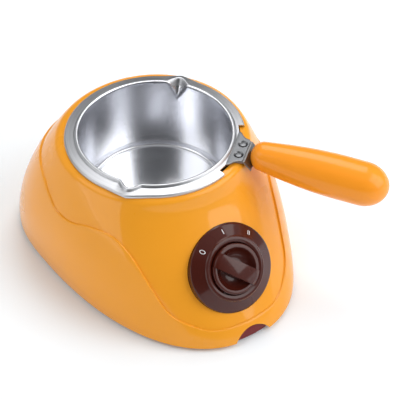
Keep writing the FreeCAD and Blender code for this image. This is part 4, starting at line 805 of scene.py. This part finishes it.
# %% Smooth copies
for node, body, slot, skin in (
        ("pilot_lens", "base", "red_lens", LENS),
        ("bottom_cover", "base", "dark_cover", BLACK),
        ("cord_grommet", "base", "foot_rubber", RUBBER),
        ("foot_front_right", "base", "foot_rubber", RUBBER),
        ("foot_front_left", "base", "foot_rubber", RUBBER),
        ("foot_rear_right", "base", "foot_rubber", RUBBER),
        ("foot_rear_left", "base", "foot_rubber", RUBBER),
        ("grip_screw", "pot", "screw_steel", STEEL)):
    belongs(copy_of(node, node + "_smooth"), body, slot, skin, node)

# %% Finishes of the inner parts
INNER = {
    STEEL: ("cover_screws", "heater_bar", "bar_screws", "stud_washer", "stud_nut", "thermostat",
            "thermostat_screws", "fuse_clip", "fuse_screw", "bush_washer", "bush_nut"),
    CAST: ("heating_disc",), MICA: ("mica_insulator",), BLACK: ("rotary_switch",), GLASS: ("neon_lamp",),
    BRASS: ("thermal_fuse", "switch_shaft", "terminal_screws"), IVORY: ("lamp_holder", "terminal_block"),
}
for skin, names in INNER.items():
    for name in names:
        nodes[name].data.materials.clear()
        nodes[name].data.materials.append(skin)

# %% [markdown]
# ## Studio
# The table is a large pale sheet. The camera looks from the front left, a little over forty degrees down,
# with a long lens from a metre away, as for a catalogue picture.

# %% What the camera sees, straight on or in a mirror
def seen_ray(tree):
    """One for rays from the camera and for those that metal and glass send on, else nought."""
    ray = add(tree, "LightPath")
    shiny = add(tree, "Math", operation="MAXIMUM")
    seen = add(tree, "Math", operation="MAXIMUM")
    join(tree, (ray.outputs["Is Glossy Ray"], shiny.inputs[0]),
         (ray.outputs["Is Transmission Ray"], shiny.inputs[1]),
         (ray.outputs["Is Camera Ray"], seen.inputs[0]), (shiny.outputs[0], seen.inputs[1]))
    return seen


# %% Table and camera
TABLE_GLOW, FAR_GLOW = 0.05, 0.62
bpy.ops.object.select_all(action="DESELECT")
bpy.ops.mesh.primitive_plane_add(size=6)
table = bpy.context.object
table.name = "table"
table_paint = bpy.data.materials.new("table paint")
table_paint.use_nodes = True
paint = table_paint.node_tree
surface = paint.nodes["Principled BSDF"]
surface.inputs["Roughness"].default_value = 0.9
surface.inputs["Specular IOR Level"].default_value = 0.1
surface.inputs["Base Color"].default_value = (0.90, 0.95, 0.985, 1)
surface.inputs["Emission Color"].default_value = (1.0, 1.0, 1.0, 1)
seen = seen_ray(paint)
spot = add(paint, "TexCoord")
distance = add(paint, "VectorMath", operation="LENGTH")
lift = add(paint, "MapRange", From_Min=0.3, From_Max=1.5, To_Min=TABLE_GLOW, To_Max=FAR_GLOW)
glow = add(paint, "Math", operation="MULTIPLY")
join(paint, (spot.outputs["Object"], distance.inputs[0]), (distance.outputs["Value"], lift.inputs["Value"]),
     (seen.outputs[0], glow.inputs[0]), (lift.outputs["Result"], glow.inputs[1]),
     (glow.outputs[0], surface.inputs["Emission Strength"]))
table.data.materials.append(table_paint)

AZIMUTH, ELEVATION = math.radians(-33.67), math.radians(43.84)
DISTANCE, TARGET, LENS_LENGTH = 999.5, Vector((13.94, -27.98, 45.0)), 146.57
back = Vector((math.sin(AZIMUTH) * math.cos(ELEVATION), -math.cos(AZIMUTH) * math.cos(ELEVATION),
               math.sin(ELEVATION)))
camera = bpy.data.objects.new("camera", bpy.data.cameras.new("camera"))
bpy.context.scene.collection.objects.link(camera)
camera.location = (TARGET + back * DISTANCE) * MM
camera.rotation_mode = "QUATERNION"
camera.rotation_quaternion = (-back).to_track_quat("-Z", "Y")
camera.data.lens = LENS_LENGTH
camera.data.clip_start, camera.data.clip_end = 0.05, 20
bpy.context.scene.camera = camera

# %% [markdown]
# A large soft box hangs at the front right, a smaller one at the left over a long low one that stands on
# the table, and a fourth hangs high up behind the handle. Metal and gloss show what stands round them, so
# their places decide where the bright bands and the dark ones fall. Each box is set by its direction from
# the pot, as seen from above, and by how bright it looks, where one is white.

# %% Soft boxes
def soft_box(name, azimuth, elevation, distance, width, height, brightness):
    """A lamp in a direction from the pot. Azimuth nought is the front, and a positive one turns right."""
    turn, rise = math.radians(azimuth), math.radians(elevation)
    way = Vector((math.sin(turn) * math.cos(rise), -math.cos(turn) * math.cos(rise), math.sin(rise)))
    lamp = bpy.data.objects.new(name, bpy.data.lights.new(name, "AREA"))
    bpy.context.scene.collection.objects.link(lamp)
    lamp.data.shape = "RECTANGLE"
    lamp.data.size, lamp.data.size_y = width, height
    lamp.data.energy = brightness * math.pi * width * height
    lamp.location = way * distance + Vector((0, 0, 0.05))
    lamp.rotation_mode = "QUATERNION"
    lamp.rotation_quaternion = (-way).to_track_quat("-Z", "Y")


soft_box("right box", 42, 35, 1.15, 0.95, 1.05, 2.7)
soft_box("left low box", -92, 5, 1.2, 1.15, 0.28, 1.8)
soft_box("left box", -104, 44, 1.2, 0.8, 0.7, 1.5)
soft_box("top box", 136, 61, 1.1, 0.7, 0.7, 3.6)

# %% [markdown]
# Beyond the boxes, white paper stands to the left and right and hangs overhead, and the room before and
# behind the table is dim. Metal shows that room. Matt surfaces get an even, weaker light from it, and the
# camera itself sees white.

# %% The room
world = bpy.data.worlds.new("white paper")
bpy.context.scene.world = world
world.use_nodes = True
room = world.node_tree
way = add(room, "TexCoord")
sideways = add(room, "VectorMath", operation="DOT_PRODUCT", _1=(math.cos(AZIMUTH), math.sin(AZIMUTH), 0))
either = add(room, "Math", operation="ABSOLUTE")
paper = add(room, "MapRange", From_Min=0.35, From_Max=0.8, To_Min=0.08, To_Max=0.38)
upwards = add(room, "SeparateXYZ")
overhead = add(room, "MapRange", From_Min=0.72, From_Max=0.95, To_Min=0.08, To_Max=0.4)
mirrored = add(room, "Math", operation="MAXIMUM")
ray = add(room, "LightPath")
direct = add(room, "Math", operation="MAXIMUM")
matt = add(room, "Mix", data_type="FLOAT", A=0.40)
strength = add(room, "Mix", data_type="FLOAT", B=1.0)
join(room, (way.outputs["Generated"], sideways.inputs[0]), (sideways.outputs["Value"], either.inputs[0]),
     (either.outputs[0], paper.inputs["Value"]), (way.outputs["Generated"], upwards.inputs[0]),
     (upwards.outputs["Z"], overhead.inputs["Value"]), (paper.outputs["Result"], mirrored.inputs[0]),
     (overhead.outputs["Result"], mirrored.inputs[1]), (mirrored.outputs[0], matt.inputs["B"]),
     (ray.outputs["Is Glossy Ray"], matt.inputs["Factor"]), (matt.outputs["Result"], strength.inputs["A"]),
     (ray.outputs["Is Camera Ray"], direct.inputs[0]), (ray.outputs["Is Transmission Ray"], direct.inputs[1]),
     (direct.outputs[0], strength.inputs["Factor"]),
     (strength.outputs["Result"], room.nodes["Background"].inputs["Strength"]))
room.nodes["Background"].inputs["Color"].default_value = (1, 1, 1, 1)
bpy.context.scene.view_settings.view_transform = "Standard"
